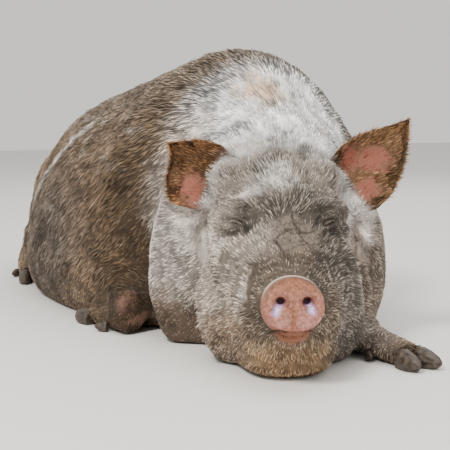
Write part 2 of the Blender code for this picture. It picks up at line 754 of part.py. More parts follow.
def main():
    clear_scene()
    nodes = bpy.data.collections.new("pig")
    helpers = bpy.data.collections.new("cutters")
    for collection in (nodes, helpers):
        bpy.context.scene.collection.children.link(collection)
    helpers.hide_render = True

    skin = material("skin", SKIN_COLOUR, 0.85)
    pink = material("snout_skin", SNOUT_COLOUR, 0.55)
    horn = material("hoof", HOOF_COLOUR, 0.6)
    wet = material("eye", EYE_COLOUR, 0.15)

    masses = flesh_masses()
    fine = fused_flesh("fine_flesh", masses, FINE_GRAIN, FINE_SMOOTHING, FINE_TRIANGLES, helpers)
    coarse = fused_flesh("coarse_flesh", masses, COARSE_GRAIN, COARSE_SMOOTHING, COARSE_TRIANGLES, helpers)
    for flesh in (fine, coarse):
        cut_floor(flesh, helpers)
    head, neck, torso, legs = divide(fine, coarse, nodes, helpers)

    eyes = [set_eye(head, side, nodes, helpers) for side in (-1, 1)]
    (back, left, height), radii = LOWER_LIP
    lip = ball("lip", in_head(back, left, height), (-FORWARD, LEFT, UP), radii, helpers, 18, 12)
    combine(head, lip, "UNION")
    combine(head, tube("mouth", mouth_path(head), MOUTH_GROOVE, helpers), "DIFFERENCE")
    snout = make_snout(nodes)
    combine(head, grown(snout, GAP * 1.3, helpers), "DIFFERENCE")
    for side in (-1, 1):
        cutter = nostril_cutter(side, helpers)
        combine(snout, cutter, "DIFFERENCE")
        combine(head, cutter, "DIFFERENCE")
    ears = make_ears(nodes)
    for ear in ears:
        bed = grown(ear, GAP * 1.5, helpers)
        for flesh in (head, neck):
            combine(flesh, bed, "DIFFERENCE")
    tail = make_tail(torso, nodes, helpers)

    claws = make_claws(legs["foreleg_left"], LEFT_FORELEG, "fore_left", nodes, helpers)
    claws += make_claws(legs["foreleg_right"], RIGHT_CANNON, "fore_right", nodes, helpers)
    for side, word in ((1, "left"), (-1, "right")):
        foot = on_side(HIND_CANNON, side)
        claws += make_claws(legs["hindleg_" + word], foot, "hind_" + word, nodes, helpers)

    for obj in (head, neck, torso, tail, *legs.values(), *ears):
        finish(obj, skin)
    finish(snout, pink)
    for obj in claws:
        finish(obj, horn)
    for obj in eyes:
        finish(obj, wet)
    for obj in list(helpers.objects):
        bpy.data.objects.remove(obj, do_unlink=True)


main()
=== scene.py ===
# %% [markdown]
# # A heavy pig at rest
#
# The animal lies on its chest with its jowls on the ground and its head turned to its right. The packed
# model gives every place and size. This lesson gives it a living skin, wet eyes, worn horn and a coat of
# bristles, and then sets up the view and the light.
#
# The order is the one a museum model maker would keep: the body first, then the face, then the colours,
# and the coat last of all, because each hair has to know the skin that it grows from.

import math

import bpy
import numpy as np
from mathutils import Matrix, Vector, kdtree
from mathutils.bvhtree import BVHTree


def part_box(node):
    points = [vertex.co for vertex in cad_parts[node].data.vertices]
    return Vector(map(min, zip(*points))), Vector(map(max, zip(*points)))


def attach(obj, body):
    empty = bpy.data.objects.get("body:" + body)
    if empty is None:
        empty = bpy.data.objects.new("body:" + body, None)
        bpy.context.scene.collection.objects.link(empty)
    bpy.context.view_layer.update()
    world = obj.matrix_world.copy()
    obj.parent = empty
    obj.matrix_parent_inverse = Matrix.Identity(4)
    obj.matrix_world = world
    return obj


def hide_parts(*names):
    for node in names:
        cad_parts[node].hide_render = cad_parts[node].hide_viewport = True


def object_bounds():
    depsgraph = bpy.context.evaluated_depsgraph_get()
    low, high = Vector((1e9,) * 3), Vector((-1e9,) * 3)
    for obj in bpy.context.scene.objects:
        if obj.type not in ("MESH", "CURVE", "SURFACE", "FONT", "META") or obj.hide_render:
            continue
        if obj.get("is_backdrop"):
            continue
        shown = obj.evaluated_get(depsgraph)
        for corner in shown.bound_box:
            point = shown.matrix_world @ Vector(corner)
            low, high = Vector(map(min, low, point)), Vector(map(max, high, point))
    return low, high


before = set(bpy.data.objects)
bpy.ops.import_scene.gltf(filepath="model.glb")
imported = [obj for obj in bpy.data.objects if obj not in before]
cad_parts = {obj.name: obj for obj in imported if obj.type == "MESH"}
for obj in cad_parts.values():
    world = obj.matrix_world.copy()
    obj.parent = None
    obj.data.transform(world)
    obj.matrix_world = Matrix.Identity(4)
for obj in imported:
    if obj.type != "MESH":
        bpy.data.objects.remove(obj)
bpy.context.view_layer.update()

# %% [markdown]
# ## Small helpers
#
# Blender's operators act on whatever is selected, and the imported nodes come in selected. So each step first
# clears the selection and picks the one piece that it works on. Modifiers are applied at once, which keeps
# the finished pieces plain meshes.

# %% Select one piece, and apply its modifiers


def only(piece):
    """Makes the piece the only one selected, and the active one."""
    bpy.ops.object.select_all(action="DESELECT")
    piece.select_set(True)
    bpy.context.view_layer.objects.active = piece


def apply_modifiers(piece):
    only(piece)
    for modifier in list(piece.modifiers):
        bpy.ops.object.modifier_apply(modifier=modifier.name)


def face_count(piece):
    return sum(len(face.vertices) - 2 for face in piece.data.polygons)


# %% Read and write all the points of a mesh at once


def points_of(mesh):
    flat = np.empty(len(mesh.vertices) * 3, np.float32)
    mesh.vertices.foreach_get("co", flat)
    return flat.reshape(-1, 3).astype(np.float64)


def normals_of(mesh):
    flat = np.empty(len(mesh.vertices) * 3, np.float32)
    mesh.vertex_normals.foreach_get("vector", flat)
    return flat.reshape(-1, 3).astype(np.float64)


def place_points(mesh, points):
    mesh.vertices.foreach_set("co", points.astype(np.float32).ravel())
    mesh.update()


def carry(mesh, name, values):
    """Stores one number per point on a mesh, for its material to read."""
    stored = mesh.attributes.new(name, "FLOAT", "POINT")
    stored.data.foreach_set("value", np.asarray(values, np.float32))


def surface_tree(name):
    """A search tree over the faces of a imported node."""
    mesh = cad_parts[name].data
    faces = [tuple(face.vertices) for face in mesh.polygons]
    return BVHTree.FromPolygons([Vector(point) for point in points_of(mesh)], faces)


def touching(tree, points, near, reach):
    """1 for points within reach of a surface, 0 for the others. Only those marked as near are tried."""
    share = np.zeros(len(points))
    for index in np.nonzero(near)[0]:
        found = tree.find_nearest(Vector(points[index]), reach)
        share[index] = 0.0 if found[0] is None else 1.0
    return share


def unit(vectors):
    return vectors / np.maximum(np.linalg.norm(vectors, axis=-1, keepdims=True), 1e-9)


def fade(values, start, end):
    """0 before start, 1 after end, and smooth between. It works either way round."""
    t = np.clip((values - start) / (end - start), 0.0, 1.0)
    return t * t * (3.0 - 2.0 * t)


# %% [markdown]
# ## The head's own directions
#
# The head is turned 23 degrees to the animal's right, so nothing on the face lines up with the world's axes.
# Everything there is placed by three distances instead: how far back from the front of the snout, how far to
# the animal's left, and how high above the ground.

# %% Directions of the head
HEAD_TURN = math.radians(23)
SNOUT_FOOT = np.array([-0.193, -0.800, 0.0])
FORWARD = np.array([-math.sin(HEAD_TURN), -math.cos(HEAD_TURN), 0.0])
BACK = -FORWARD
LEFT = np.array([math.cos(HEAD_TURN), -math.sin(HEAD_TURN), 0.0])
UP = np.array([0.0, 0.0, 1.0])


def in_head(back, left, height):
    return SNOUT_FOOT + BACK * back + LEFT * left + UP * height


def head_distances(points):
    """How far back, left and up each point lies."""
    offset = points - SNOUT_FOOT
    return offset @ BACK, offset @ LEFT, points[:, 2]


print("The eyes look towards", np.round(FORWARD, 2))

# %% [markdown]
# ## One skin from many solids
#
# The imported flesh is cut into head, neck, torso and legs, with a hair's width between them. A real hide has
# no such cuts. Each solid is copied, swelled by a millimetre so that the copies overlap, and all of them are
# melted into one surface by a voxel remesh. Sculpting a new body would be the other way, but then the looks
# could drift away from the solids that carry the physics.

# %% Copy the flesh
FLESH = [
    "head",
    "snout",
    "neck",
    "torso",
    "tail",
    "foreleg_left",
    "foreleg_right",
    "hindleg_left",
    "hindleg_right",
]
SWELL = 0.0013
SKIN_GRAIN = 0.0048


def copy_node(name):
    """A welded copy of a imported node, at the same place."""
    piece = bpy.data.objects.new(name + "_copy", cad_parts[name].data.copy())
    bpy.context.scene.collection.objects.link(piece)
    piece.data.materials.clear()
    only(piece)
    bpy.ops.object.mode_set(mode="EDIT")
    bpy.ops.mesh.select_all(action="SELECT")
    bpy.ops.mesh.remove_doubles(threshold=1e-5)
    bpy.ops.object.mode_set(mode="OBJECT")
    return piece


flesh_copies = [copy_node(name) for name in FLESH]
print("Copied", len(flesh_copies), "pieces of flesh")

# %% [markdown]
# The solids have hollow nostrils and beds behind the eyes. Both would melt into ragged pits, so each is
# stopped with a small ball before the melting. The exact shapes are pressed in afterwards, on finer faces.

# %% Stop the nostrils and the eye beds
DISC_CENTRE = in_head(0.0, 0.0, 0.120)
EYE_CENTRES = {}
for side, name in ((1, "eye_left"), (-1, "eye_right")):
    low, high = (np.array(corner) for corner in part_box(name))
    EYE_CENTRES[side] = (low + high) / 2


def stopper(name, centre, radii):
    bpy.ops.object.select_all(action="DESELECT")
    bpy.ops.mesh.primitive_uv_sphere_add(segments=24, ring_count=16, radius=1.0, location=centre, scale=radii)
    ball = bpy.context.view_layer.objects.active
    ball.name = name
    only(ball)
    bpy.ops.object.transform_apply(location=True, rotation=True, scale=True)
    return ball


for side in (-1, 1):
    nostril_middle = DISC_CENTRE + LEFT * side * 0.0205 + BACK * 0.0185
    flesh_copies.append(stopper("nostril_stopper", nostril_middle, (0.0125, 0.0175, 0.0140)))
    flesh_copies.append(stopper("eye_stopper", EYE_CENTRES[side], (0.0132, 0.0132, 0.0132)))
print("Pieces to melt together:", len(flesh_copies))

# %% Swell, join and melt
for piece in flesh_copies[: len(FLESH)]:
    swell = piece.modifiers.new("Swell", "DISPLACE")
    swell.strength = SWELL
    swell.mid_level = 0.0
    apply_modifiers(piece)
bpy.ops.object.select_all(action="DESELECT")
for piece in flesh_copies:
    piece.select_set(True)
bpy.context.view_layer.objects.active = flesh_copies[0]
bpy.ops.object.join()
skin = bpy.context.view_layer.objects.active
skin.name = "skin"
melt = skin.modifiers.new("Melt", "REMESH")
melt.mode = "VOXEL"
melt.voxel_size = SKIN_GRAIN
soften = skin.modifiers.new("Soften", "SMOOTH")
soften.iterations = 4
apply_modifiers(skin)
print("The skin starts with", face_count(skin), "triangles")

# %% [markdown]
# ## Room for the coat
#
# The solids reach to the tips of the flat coat, so the skin has to lie a few millimetres inside them. How
# deep depends on the place: the bristles of the neck and back are long, those of the face are short, and the
# disc of the snout is bare. A swell that was added before is taken off at the same time.

# %% Sink the skin by the coat's depth
BODY_COAT_DEPTH = 0.0050
FACE_COAT_DEPTH = 0.0022


def coat_depth(points):
    back, left, height = head_distances(points)
    from_disc = np.linalg.norm(points - DISC_CENTRE, axis=1)
    depth = FACE_COAT_DEPTH + (BODY_COAT_DEPTH - FACE_COAT_DEPTH) * fade(back, 0.16, 0.36)
    depth = depth * fade(from_disc, 0.050, 0.085)
    low = fade(height, 0.045, 0.010)
    return depth * (1.0 - 0.6 * low)


TAIL_REACH = 0.006
TAIL_LOW, TAIL_HIGH = (np.array(corner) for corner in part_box("tail"))
tail_tree = surface_tree("tail")


def tail_share(points):
    """1 on the tail, which is too thin to be sunk, and 0 away from it."""
    near = np.all((points > TAIL_LOW - TAIL_REACH) & (points < TAIL_HIGH + TAIL_REACH), axis=1)
    return touching(tail_tree, points, near, TAIL_REACH)


skin_points = points_of(skin.data)
skin_normals = normals_of(skin.data)
sinking = (SWELL + coat_depth(skin_points)) * (1.0 - tail_share(skin_points))
skin_points -= skin_normals * sinking[:, None]
skin_points[:, 2] = np.maximum(skin_points[:, 2], 0.0006)
place_points(skin.data, skin_points)
print("The deepest coat is", BODY_COAT_DEPTH * 1000, "mm")

# %% [markdown]
# ## Ears and tail
#
# An ear is a thin sheet of gristle, too thin for the voxels, and so is the end of the tail. Each one is a
# smooth copy of its own solid, and a Boolean union roots it in the body, so that skin runs on into it without
# a seam.

# %% Root the ears and the tail
for name in ("ear_left", "ear_right", "tail"):
    ear = copy_node(name)
    rounder = ear.modifiers.new("Rounder", "SUBSURF")
    rounder.levels = 1
    rounder.render_levels = 1
    apply_modifiers(ear)
    fuse = skin.modifiers.new("Root", "BOOLEAN")
    fuse.operation = "UNION"
    fuse.solver = "MANIFOLD"
    fuse.object = ear
    apply_modifiers(skin)
    bpy.data.objects.remove(ear)
print("Skin with ears and tail:", face_count(skin), "triangles")

# %% [markdown]
# ## Detail where the eye looks
#
# The trunk is one long smooth curve and needs few faces. The face needs many: folds, lids and nostrils are a
# few millimetres wide. So the trunk is thinned, and the faces of the head are divided, those near the snout
# and the eyes once more.

# %% Thin the trunk, divide the face
TRUNK_SHARE = 0.10
NECK_SHARE = 0.30


def select_faces(piece, chosen):
    """Selects the faces for which chosen(centres) is true, and goes into edit mode."""
    only(piece)
    bpy.ops.object.mode_set(mode="EDIT")
    bpy.ops.mesh.select_mode(type="FACE")
    bpy.ops.mesh.select_all(action="DESELECT")
    bpy.ops.object.mode_set(mode="OBJECT")
    centres = np.empty(len(piece.data.polygons) * 3, np.float32)
    piece.data.polygons.foreach_get("center", centres)
    picked = chosen(centres.reshape(-1, 3).astype(np.float64))
    piece.data.polygons.foreach_set("select", picked)
    bpy.ops.object.mode_set(mode="EDIT")
    return int(picked.sum())


def is_trunk(centres):
    back, left, height = head_distances(centres)
    return (back > 0.43) & (tail_share(centres) < 0.5)


def is_neck(centres):
    back, left, height = head_distances(centres)
    in_ear = (back > 0.26) & (np.abs(left) > 0.075) & (height > 0.225)
    return (back > 0.30) & (back < 0.43) & ~in_ear


def is_brow(centres):
    """The ledges above and outside the eyes, which are too square."""
    near = np.zeros(len(centres), bool)
    for side in (-1, 1):
        near |= np.linalg.norm(centres - in_head(0.225, side * 0.088, 0.250), axis=1) < 0.042
    return near


def is_face(centres):
    back, left, height = head_distances(centres)
    return (back < 0.255) & (height > 0.020) & (np.abs(left) < 0.115)


def is_fine(centres):
    back, left, height = head_distances(centres)
    near_disc = np.linalg.norm(centres - in_head(0.01, 0.0, 0.112), axis=1) < 0.062
    near_disc |= np.linalg.norm(centres - in_head(0.135, 0.024, 0.200), axis=1) < 0.052
    near_eye = np.zeros(len(centres), bool)
    for centre in EYE_CENTRES.values():
        near_eye |= np.linalg.norm(centres - centre, axis=1) < 0.034
    return near_disc | near_eye


def is_lid(centres):
    near = np.zeros(len(centres), bool)
    for centre in EYE_CENTRES.values():
        near |= np.linalg.norm(centres - centre, axis=1) < 0.020
    return near


for chosen, kept in ((is_trunk, TRUNK_SHARE), (is_neck, NECK_SHARE)):
    select_faces(skin, chosen)
    bpy.ops.mesh.decimate(ratio=kept)
    bpy.ops.object.mode_set(mode="OBJECT")
    print("Thinned to", face_count(skin), "triangles")
select_faces(skin, is_brow)
bpy.ops.mesh.vertices_smooth(factor=0.5, repeat=14)
bpy.ops.object.mode_set(mode="OBJECT")
for chosen in (is_face, is_fine, is_lid):
    select_faces(skin, chosen)
    bpy.ops.mesh.subdivide(number_cuts=1, smoothness=0.0)
    bpy.ops.mesh.vertices_smooth(factor=0.5, repeat=2)
    bpy.ops.object.mode_set(mode="OBJECT")
print("Divided skin:", face_count(skin), "triangles")

# %% [markdown]
# ## The snout's disc
#
# The disc is the pig's digging tool: a firm, bare plate with a rounded rim and two nostrils that run on into
# a slit at their lower, outer corner. It could be a separate piece, but the skin runs on into it without a
# gap, so it is pressed into the same surface. Points near the disc are moved to an exact height above its
# plane. That is quick to change, and it keeps the rim crisp.

# %% Shape the disc and the nostrils
DISC_TILT = math.radians(8)
DISC_HALF_WIDTH = 0.044
DISC_RISE = 0.041
DISC_DROP = 0.038
UPPER_SQUARENESS = 2.0
LOWER_SQUARENESS = 2.9
NOSTRIL_SPREAD = 0.0180
NOSTRIL_RISE = 0.0060
NOSTRIL_DEPTH = 0.0115
NOSTRIL_HALF_WIDTH = 0.0062
NOSTRIL_HALF_HEIGHT = 0.0050
DISC_OUT = FORWARD * math.cos(DISC_TILT) + UP * math.sin(DISC_TILT)
DISC_UP = np.cross(DISC_OUT, LEFT)
DISC_UP = DISC_UP if DISC_UP[2] > 0 else -DISC_UP


def disc_place(points):
    """Across, up and out from the disc's centre, and the share of the way to its rim."""
    offset = points - DISC_CENTRE
    across = offset @ LEFT
    rise = offset @ DISC_UP
    out = offset @ DISC_OUT
    half_height = np.where(rise > 0, DISC_RISE, DISC_DROP)
    power = np.where(rise > 0, UPPER_SQUARENESS, LOWER_SQUARENESS)
    sum_of_shares = (np.abs(across) / DISC_HALF_WIDTH) ** power + (np.abs(rise) / half_height) ** power
    return across, rise, out, sum_of_shares ** (1 / power)


def nostril_share(across, rise):
    """0 at the middle of the nearer nostril, 1 at its edge."""
    sideways = np.abs(across) - NOSTRIL_SPREAD
    upward = rise - NOSTRIL_RISE
    turned_side = sideways * 0.94 + upward * 0.34
    turned_up = upward * 0.94 - sideways * 0.34
    return np.sqrt((turned_side / NOSTRIL_HALF_WIDTH) ** 2 + (turned_up / NOSTRIL_HALF_HEIGHT) ** 2)


def slit_distance(across, rise):
    """How far each point lies from the slit that runs down and out from a nostril."""
    start = np.array([NOSTRIL_SPREAD + 0.0005, NOSTRIL_RISE - 0.002])
    end = np.array([NOSTRIL_SPREAD + 0.0072, NOSTRIL_RISE - 0.0150])
    flat = np.stack([np.abs(across), rise], axis=1)
    way = end - start
    along = np.clip(((flat - start) @ way) / (way @ way), 0.0, 1.0)
    return np.linalg.norm(flat - (start + along[:, None] * way), axis=1)


def disc_height(across, rise, share):
    """The disc's surface above its plane: dome, rim, nostrils, slits and the groove down the middle."""
    height = 0.0030 * np.cos(np.clip(share, 0, 1) * math.pi / 2)
    height += 0.0016 * np.exp(-(((share - 0.93) / 0.06) ** 2))
    height -= 0.0056 * fade(share, 0.94, 1.06)
    nostril = nostril_share(across, rise)
    slit = slit_distance(across, rise)
    height += 0.0018 * np.exp(-(((nostril - 1.40) / 0.30) ** 2))
    height -= NOSTRIL_DEPTH * fade(nostril, 1.15, 0.50)
    height -= 0.0056 * np.exp(-((slit / 0.0050) ** 2)) * fade(nostril, 0.4, 1.3)
    height += 0.0016 * np.exp(-(((slit - 0.0092) / 0.0028) ** 2))
    below = fade(rise, 0.010, -0.012)
    height -= 0.0018 * np.exp(-((across / 0.0030) ** 2)) * below
    height += 0.0022 * np.exp(-(((np.abs(across) - 0.015) / 0.009) ** 2)) * below
    return height


skin_points = points_of(skin.data)
across, rise, out, share = disc_place(skin_points)
on_disc = fade(share, 1.09, 0.99) * fade(out, -0.030, -0.016)
target = disc_height(across, rise, share)
skin_points += DISC_OUT * ((target - out) * on_disc)[:, None]
place_points(skin.data, skin_points)
print("Points moved to the disc:", int((on_disc > 0).sum()))

# %% [markdown]
# ## Lids
#
# A pig's eye is small and deep, with thick lids and a short opening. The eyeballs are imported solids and
# stay. The skin round each one is pulled under the eyeball inside the opening and kept just above it
# outside, so that the lids rest on the ball as real ones do.

# %% Open the lids
EYE_RADIUS = 0.012
OPENING_HALF_WIDTH = 0.0108
OPENING_HALF_HEIGHT = 0.0044
LID_REACH = 0.030
LID_SLANT = math.radians(12)


def eye_directions(side):
    """Across, up and the way the eye looks."""
    look = unit(FORWARD * 0.82 + LEFT * side * 0.50 + UP * 0.12)
    across = unit(np.cross(look, UP))
    turned = across * math.cos(LID_SLANT * side) + np.cross(look, across) * math.sin(LID_SLANT * side)
    return turned, np.cross(turned, look), look


def eye_place(points, side):
    """Across, up and out from the eyeball's centre."""
    across_way, up_way, look = eye_directions(side)
    offset = points - EYE_CENTRES[side]
    return offset @ across_way, offset @ up_way, offset @ look


def open_lids(points, side):
    """Moves the points near one eye in or out along their line from the eyeball's centre."""
    across, rise, out = eye_place(points, side)
    offset = points - EYE_CENTRES[side]
    distance = np.linalg.norm(offset, axis=1)
    near = (distance < LID_REACH) & (out > 0.001)
    arch = np.sqrt((across / OPENING_HALF_WIDTH) ** 2 + (rise / OPENING_HALF_HEIGHT) ** 2)
    floor = EYE_RADIUS + 0.0014 + 0.0022 * np.exp(-(((arch - 1.45) / 0.42) ** 2))
    outside = np.maximum(distance, floor)
    outside += 0.0024 * np.exp(-(((arch - 1.6) / 0.50) ** 2))
    outside -= 0.0022 * np.exp(-(((arch - 2.8) / 0.50) ** 2))
    inside = np.full(len(points), EYE_RADIUS - 0.0024)
    wanted = inside + (outside - inside) * fade(arch, 0.84, 1.06)
    points[near] += (unit(offset) * (wanted - distance)[:, None])[near]
    return int(near.sum())


for side in (-1, 1):
    print("Lid points:", open_lids(skin_points, side))
place_points(skin.data, skin_points)

# %% [markdown]
# ## Folds and creases
#
# Fat and loose skin fold in the same places on every heavy pig: beside the snout, under the eyes, between
# the brows and where the jowl meets the neck. Each fold is drawn as a line on the skin. The skin sinks along
# the line and swells a little beside it, because real skin has to go somewhere.

# %% Draw the folds
# Each row is a depth, a width, and the line as back, left and height. A depth below 0 is a ridge.
FOLDS = {
    "muzzle, right side": (
        (0.0044, 0.0062),
        [(0.083, -0.045, 0.163), (0.071, -0.055, 0.148), (0.051, -0.060, 0.130), (0.041, -0.059, 0.100)],
    ),
    "ridge beside it": (
        (-0.0030, 0.0038),
        [
            (0.084, -0.053, 0.157),
            (0.078, -0.063, 0.142),
            (0.058, -0.067, 0.126),
            (0.058, -0.071, 0.111),
            (0.048, -0.066, 0.100),
        ],
    ),
    "cheek beside the ridge": (
        (0.0060, 0.0066),
        [(0.102, -0.061, 0.161), (0.099, -0.073, 0.144), (0.088, -0.079, 0.124), (0.072, -0.076, 0.090)],
    ),
    "corner of the mouth, right side": (
        (0.0020, 0.0046),
        [(0.089, -0.076, 0.078), (0.060, -0.063, 0.073), (0.049, -0.046, 0.068)],
    ),
    "corner of the mouth, left side": (
        (0.0020, 0.0046),
        [(0.095, 0.076, 0.078), (0.062, 0.063, 0.073), (0.049, 0.046, 0.068)],
    ),
    "under the right eye": (
        (0.0044, 0.0048),
        [(0.212, -0.098, 0.192), (0.194, -0.082, 0.200), (0.174, -0.066, 0.199), (0.170, -0.054, 0.206)],
    ),
    "under the left eye": (
        (0.0044, 0.0048),
        [(0.206, 0.094, 0.196), (0.186, 0.080, 0.202), (0.168, 0.064, 0.200), (0.162, 0.050, 0.206)],
    ),
    "inner corner of the right eye": (
        (0.0040, 0.0046),
        [(0.190, -0.060, 0.216), (0.178, -0.058, 0.206), (0.161, -0.057, 0.196)],
    ),
    "inner corner of the left eye": (
        (0.0040, 0.0046),
        [(0.180, 0.050, 0.218), (0.166, 0.050, 0.206), (0.156, 0.052, 0.196)],
    ),
    "right cheek, high": (
        (0.0062, 0.0064),
        [(0.150, -0.061, 0.188), (0.148, -0.076, 0.177), (0.142, -0.088, 0.161), (0.140, -0.095, 0.140)],
    ),
    "right cheek, inner": (
        (0.0038, 0.0050),
        [(0.127, -0.045, 0.185), (0.126, -0.060, 0.175), (0.126, -0.075, 0.160)],
    ),
    "left muzzle, inner": (
        (0.0058, 0.0062),
        [(0.125, 0.070, 0.165), (0.120, 0.081, 0.143), (0.112, 0.085, 0.120), (0.088, 0.078, 0.096)],
    ),
    "left cheek": (
        (0.0064, 0.0072),
        [(0.145, 0.086, 0.170), (0.150, 0.103, 0.144), (0.154, 0.109, 0.116), (0.140, 0.102, 0.092)],
    ),
    "right brow": (
        (0.0032, 0.0070),
        [(0.200, -0.092, 0.233), (0.187, -0.071, 0.238), (0.183, -0.047, 0.231), (0.171, -0.021, 0.220)],
    ),
    "left brow": (
        (0.0036, 0.0070),
        [(0.206, 0.092, 0.236), (0.192, 0.078, 0.238), (0.184, 0.053, 0.233), (0.174, 0.023, 0.222)],
    ),
    "right frown": (
        (0.0040, 0.0045),
        [(0.150, -0.004, 0.208), (0.176, -0.014, 0.238), (0.200, -0.030, 0.262)],
    ),
    "left frown": (
        (0.0040, 0.0045),
        [(0.150, 0.010, 0.208), (0.176, 0.020, 0.238), (0.200, 0.036, 0.262)],
    ),
    "bag under the right eye": (
        (-0.0034, 0.0056),
        [(0.208, -0.092, 0.204), (0.192, -0.079, 0.207), (0.180, -0.064, 0.208)],
    ),
    "bag under the left eye": (
        (-0.0030, 0.0056),
        [(0.204, 0.090, 0.206), (0.186, 0.077, 0.209), (0.172, 0.060, 0.209)],
    ),
    "bridge, lowest": (
        (0.0020, 0.0032),
        [(0.041, -0.036, 0.147), (0.043, -0.016, 0.157), (0.038, 0.006, 0.158), (0.046, 0.029, 0.154)],
    ),
    "bridge, low": (
        (0.0026, 0.0038),
        [(0.061, -0.042, 0.155), (0.068, -0.019, 0.167), (0.061, 0.002, 0.166), (0.062, 0.022, 0.163)],
    ),
    "neck, right side": (
        (0.0085, 0.0080),
        [
            (0.243, -0.104, 0.240),
            (0.300, -0.117, 0.200),
            (0.299, -0.122, 0.159),
            (0.224, -0.127, 0.122),
            (0.182, -0.127, 0.082),
            (0.173, -0.118, 0.040),
        ],
    ),
    "neck, left side": (
        (0.0065, 0.0085),
        [
            (0.217, 0.101, 0.222),
            (0.303, 0.128, 0.186),
            (0.306, 0.146, 0.150),
            (0.312, 0.160, 0.105),
            (0.283, 0.158, 0.055),
        ],
    ),
    "ridge of the neck, left side": (
        (-0.0040, 0.0055),
        [(0.290, 0.120, 0.218), (0.308, 0.136, 0.194), (0.312, 0.152, 0.164), (0.322, 0.170, 0.133)],
    ),
    "under the chin": (
        (0.0030, 0.0070),
        [
            (0.100, -0.070, 0.030),
            (0.062, -0.040, 0.030),
            (0.050, 0.0, 0.028),
            (0.062, 0.040, 0.030),
            (0.100, 0.070, 0.030),
        ],
    ),
}
FOLD_SWELL = 0.45
# Cracks in the dried mud between the eyes, drawn the same way, but narrow and sharp.
CRACKS = {
    "long one": [
        (0.177, 0.013, 0.230),
        (0.158, 0.017, 0.213),
        (0.140, 0.026, 0.200),
        (0.127, 0.032, 0.191),
        (0.110, 0.039, 0.180),
        (0.093, 0.046, 0.167),
    ],
    "low, to the left": [
        (0.074, 0.012, 0.170),
        (0.083, 0.033, 0.169),
        (0.078, 0.044, 0.161),
        (0.070, 0.058, 0.144),
    ],
    "low, to the right": [(0.132, -0.016, 0.198), (0.101, -0.007, 0.184), (0.074, 0.002, 0.172)],
    "beside the left eye": [
        (0.183, 0.063, 0.231),
        (0.180, 0.051, 0.216),
        (0.160, 0.047, 0.203),
        (0.143, 0.060, 0.184),
        (0.140, 0.075, 0.170),
    ],
    "high bridge": [
        (0.158, 0.017, 0.213),
        (0.150, 0.004, 0.211),
        (0.140, -0.010, 0.204),
        (0.132, -0.016, 0.198),
    ],
    "upper link": [(0.150, 0.021, 0.207), (0.152, 0.034, 0.206), (0.160, 0.047, 0.203)],
    "lower link": [(0.127, 0.032, 0.191), (0.130, 0.046, 0.186), (0.143, 0.060, 0.184)],
    "side branch": [(0.110, 0.039, 0.180), (0.118, 0.054, 0.172), (0.122, 0.068, 0.160)],
    "across the plate": [
        (0.127, 0.032, 0.191),
        (0.118, 0.018, 0.191),
        (0.108, 0.006, 0.186),
        (0.101, -0.007, 0.184),
    ],
    "short one": [(0.093, 0.046, 0.167), (0.090, 0.030, 0.173), (0.088, 0.014, 0.178)],
}
CRACK_DEPTH = 0.0012
CRACK_WIDTH = 0.0014
CRACK_WANDER = 0.0007
CRACK_TURN = 2.3
FOLD_SHADE = 0.55


def smooth_path(corners, steps=8):
    """More points on a smooth curve through the given ones."""
    corners = [np.array(corner) for corner in corners]
    rows = [corners[0]] + corners + [corners[-1]]
    found = []
    for before, first, second, after in zip(rows, rows[1:], rows[2:], rows[3:]):
        for step in range(steps):
            t = step / steps
            pull = (second - before) / 2
            leave = (after - first) / 2
            step_on = second - first
            bend = 3 * step_on - 2 * pull - leave
            twist = pull + leave - 2 * step_on
            found.append(first + t * (pull + t * (bend + t * twist)))
    found.append(corners[-1])
    return found


def path_distance(points, path):
    nearest = np.full(len(points), 1e9)
    for start, end in zip(path, path[1:]):
        way = end - start
        along = np.clip(((points - start) @ way) / max(way @ way, 1e-12), 0.0, 1.0)
        nearest = np.minimum(nearest, np.linalg.norm(points - (start + along[:, None] * way), axis=1))
    return nearest


def fold(points, normals, path, depth, width):
    """Sinks the skin along a path, and swells it beside the path. The ends run out softly."""
    middle = np.mean(path, axis=0)
    reach = max(np.linalg.norm(point - middle) for point in path) + width * 6
    near = np.linalg.norm(points - middle, axis=1) < reach
    distance = path_distance(points[near], path)
    ends = np.minimum(
        np.linalg.norm(points[near] - path[0], axis=1),
        np.linalg.norm(points[near] - path[-1], axis=1),
    )
    amount = -depth * np.exp(-((distance / width) ** 2))
    amount += depth * FOLD_SWELL * np.exp(-(((distance - 2.0 * width) / width) ** 2))
    amount *= fade(ends, 0.0, width * 2.5)
    points[near] += normals[near] * amount[:, None]
    closeness = np.zeros(len(points))
    closeness[near] = np.exp(-((distance / width) ** 2)) * fade(ends, 0.0, width * 2.5)
    return closeness


def on_skin(path, tree, normals):
    """The points of a path, each moved straight in or out until it lies on the skin."""
    found = []
    for point in path:
        nearest, index, _ = tree.find(point)
        normal = normals[index]
        found.append(point + normal * ((np.array(nearest) - point) @ normal))
    return found


# The crease values are painted shade. They darken the hide, and the hairs that grow there, along the folds,
# the cracks and the mouth line.
crease_shade = np.zeros(len(skin_points))
for (depth, width), corners in FOLDS.values():
    path = smooth_path([in_head(*corner) for corner in corners])
    closeness = fold(skin_points, normals_of(skin.data), path, depth, width)
    if depth > 0:
        crease_shade = np.maximum(crease_shade, FOLD_SHADE * closeness)
skin_tree = kdtree.KDTree(len(skin_points))
for index, point in enumerate(skin_points):
    skin_tree.insert(point, index)
skin_tree.balance()
skin_normals = normals_of(skin.data)
for corners in CRACKS.values():
    path = smooth_path([in_head(*corner) for corner in corners], steps=6)
    path = [point + LEFT * CRACK_WANDER * math.sin(CRACK_TURN * step) for step, point in enumerate(path)]
    path = on_skin(path, skin_tree, skin_normals)
    crease_shade = np.maximum(crease_shade, fold(skin_points, skin_normals, path, CRACK_DEPTH, CRACK_WIDTH))
place_points(skin.data, skin_points)
carry(skin.data, "crease_shade", crease_shade)
print("Folds and cracks drawn:", len(FOLDS) + len(CRACKS))

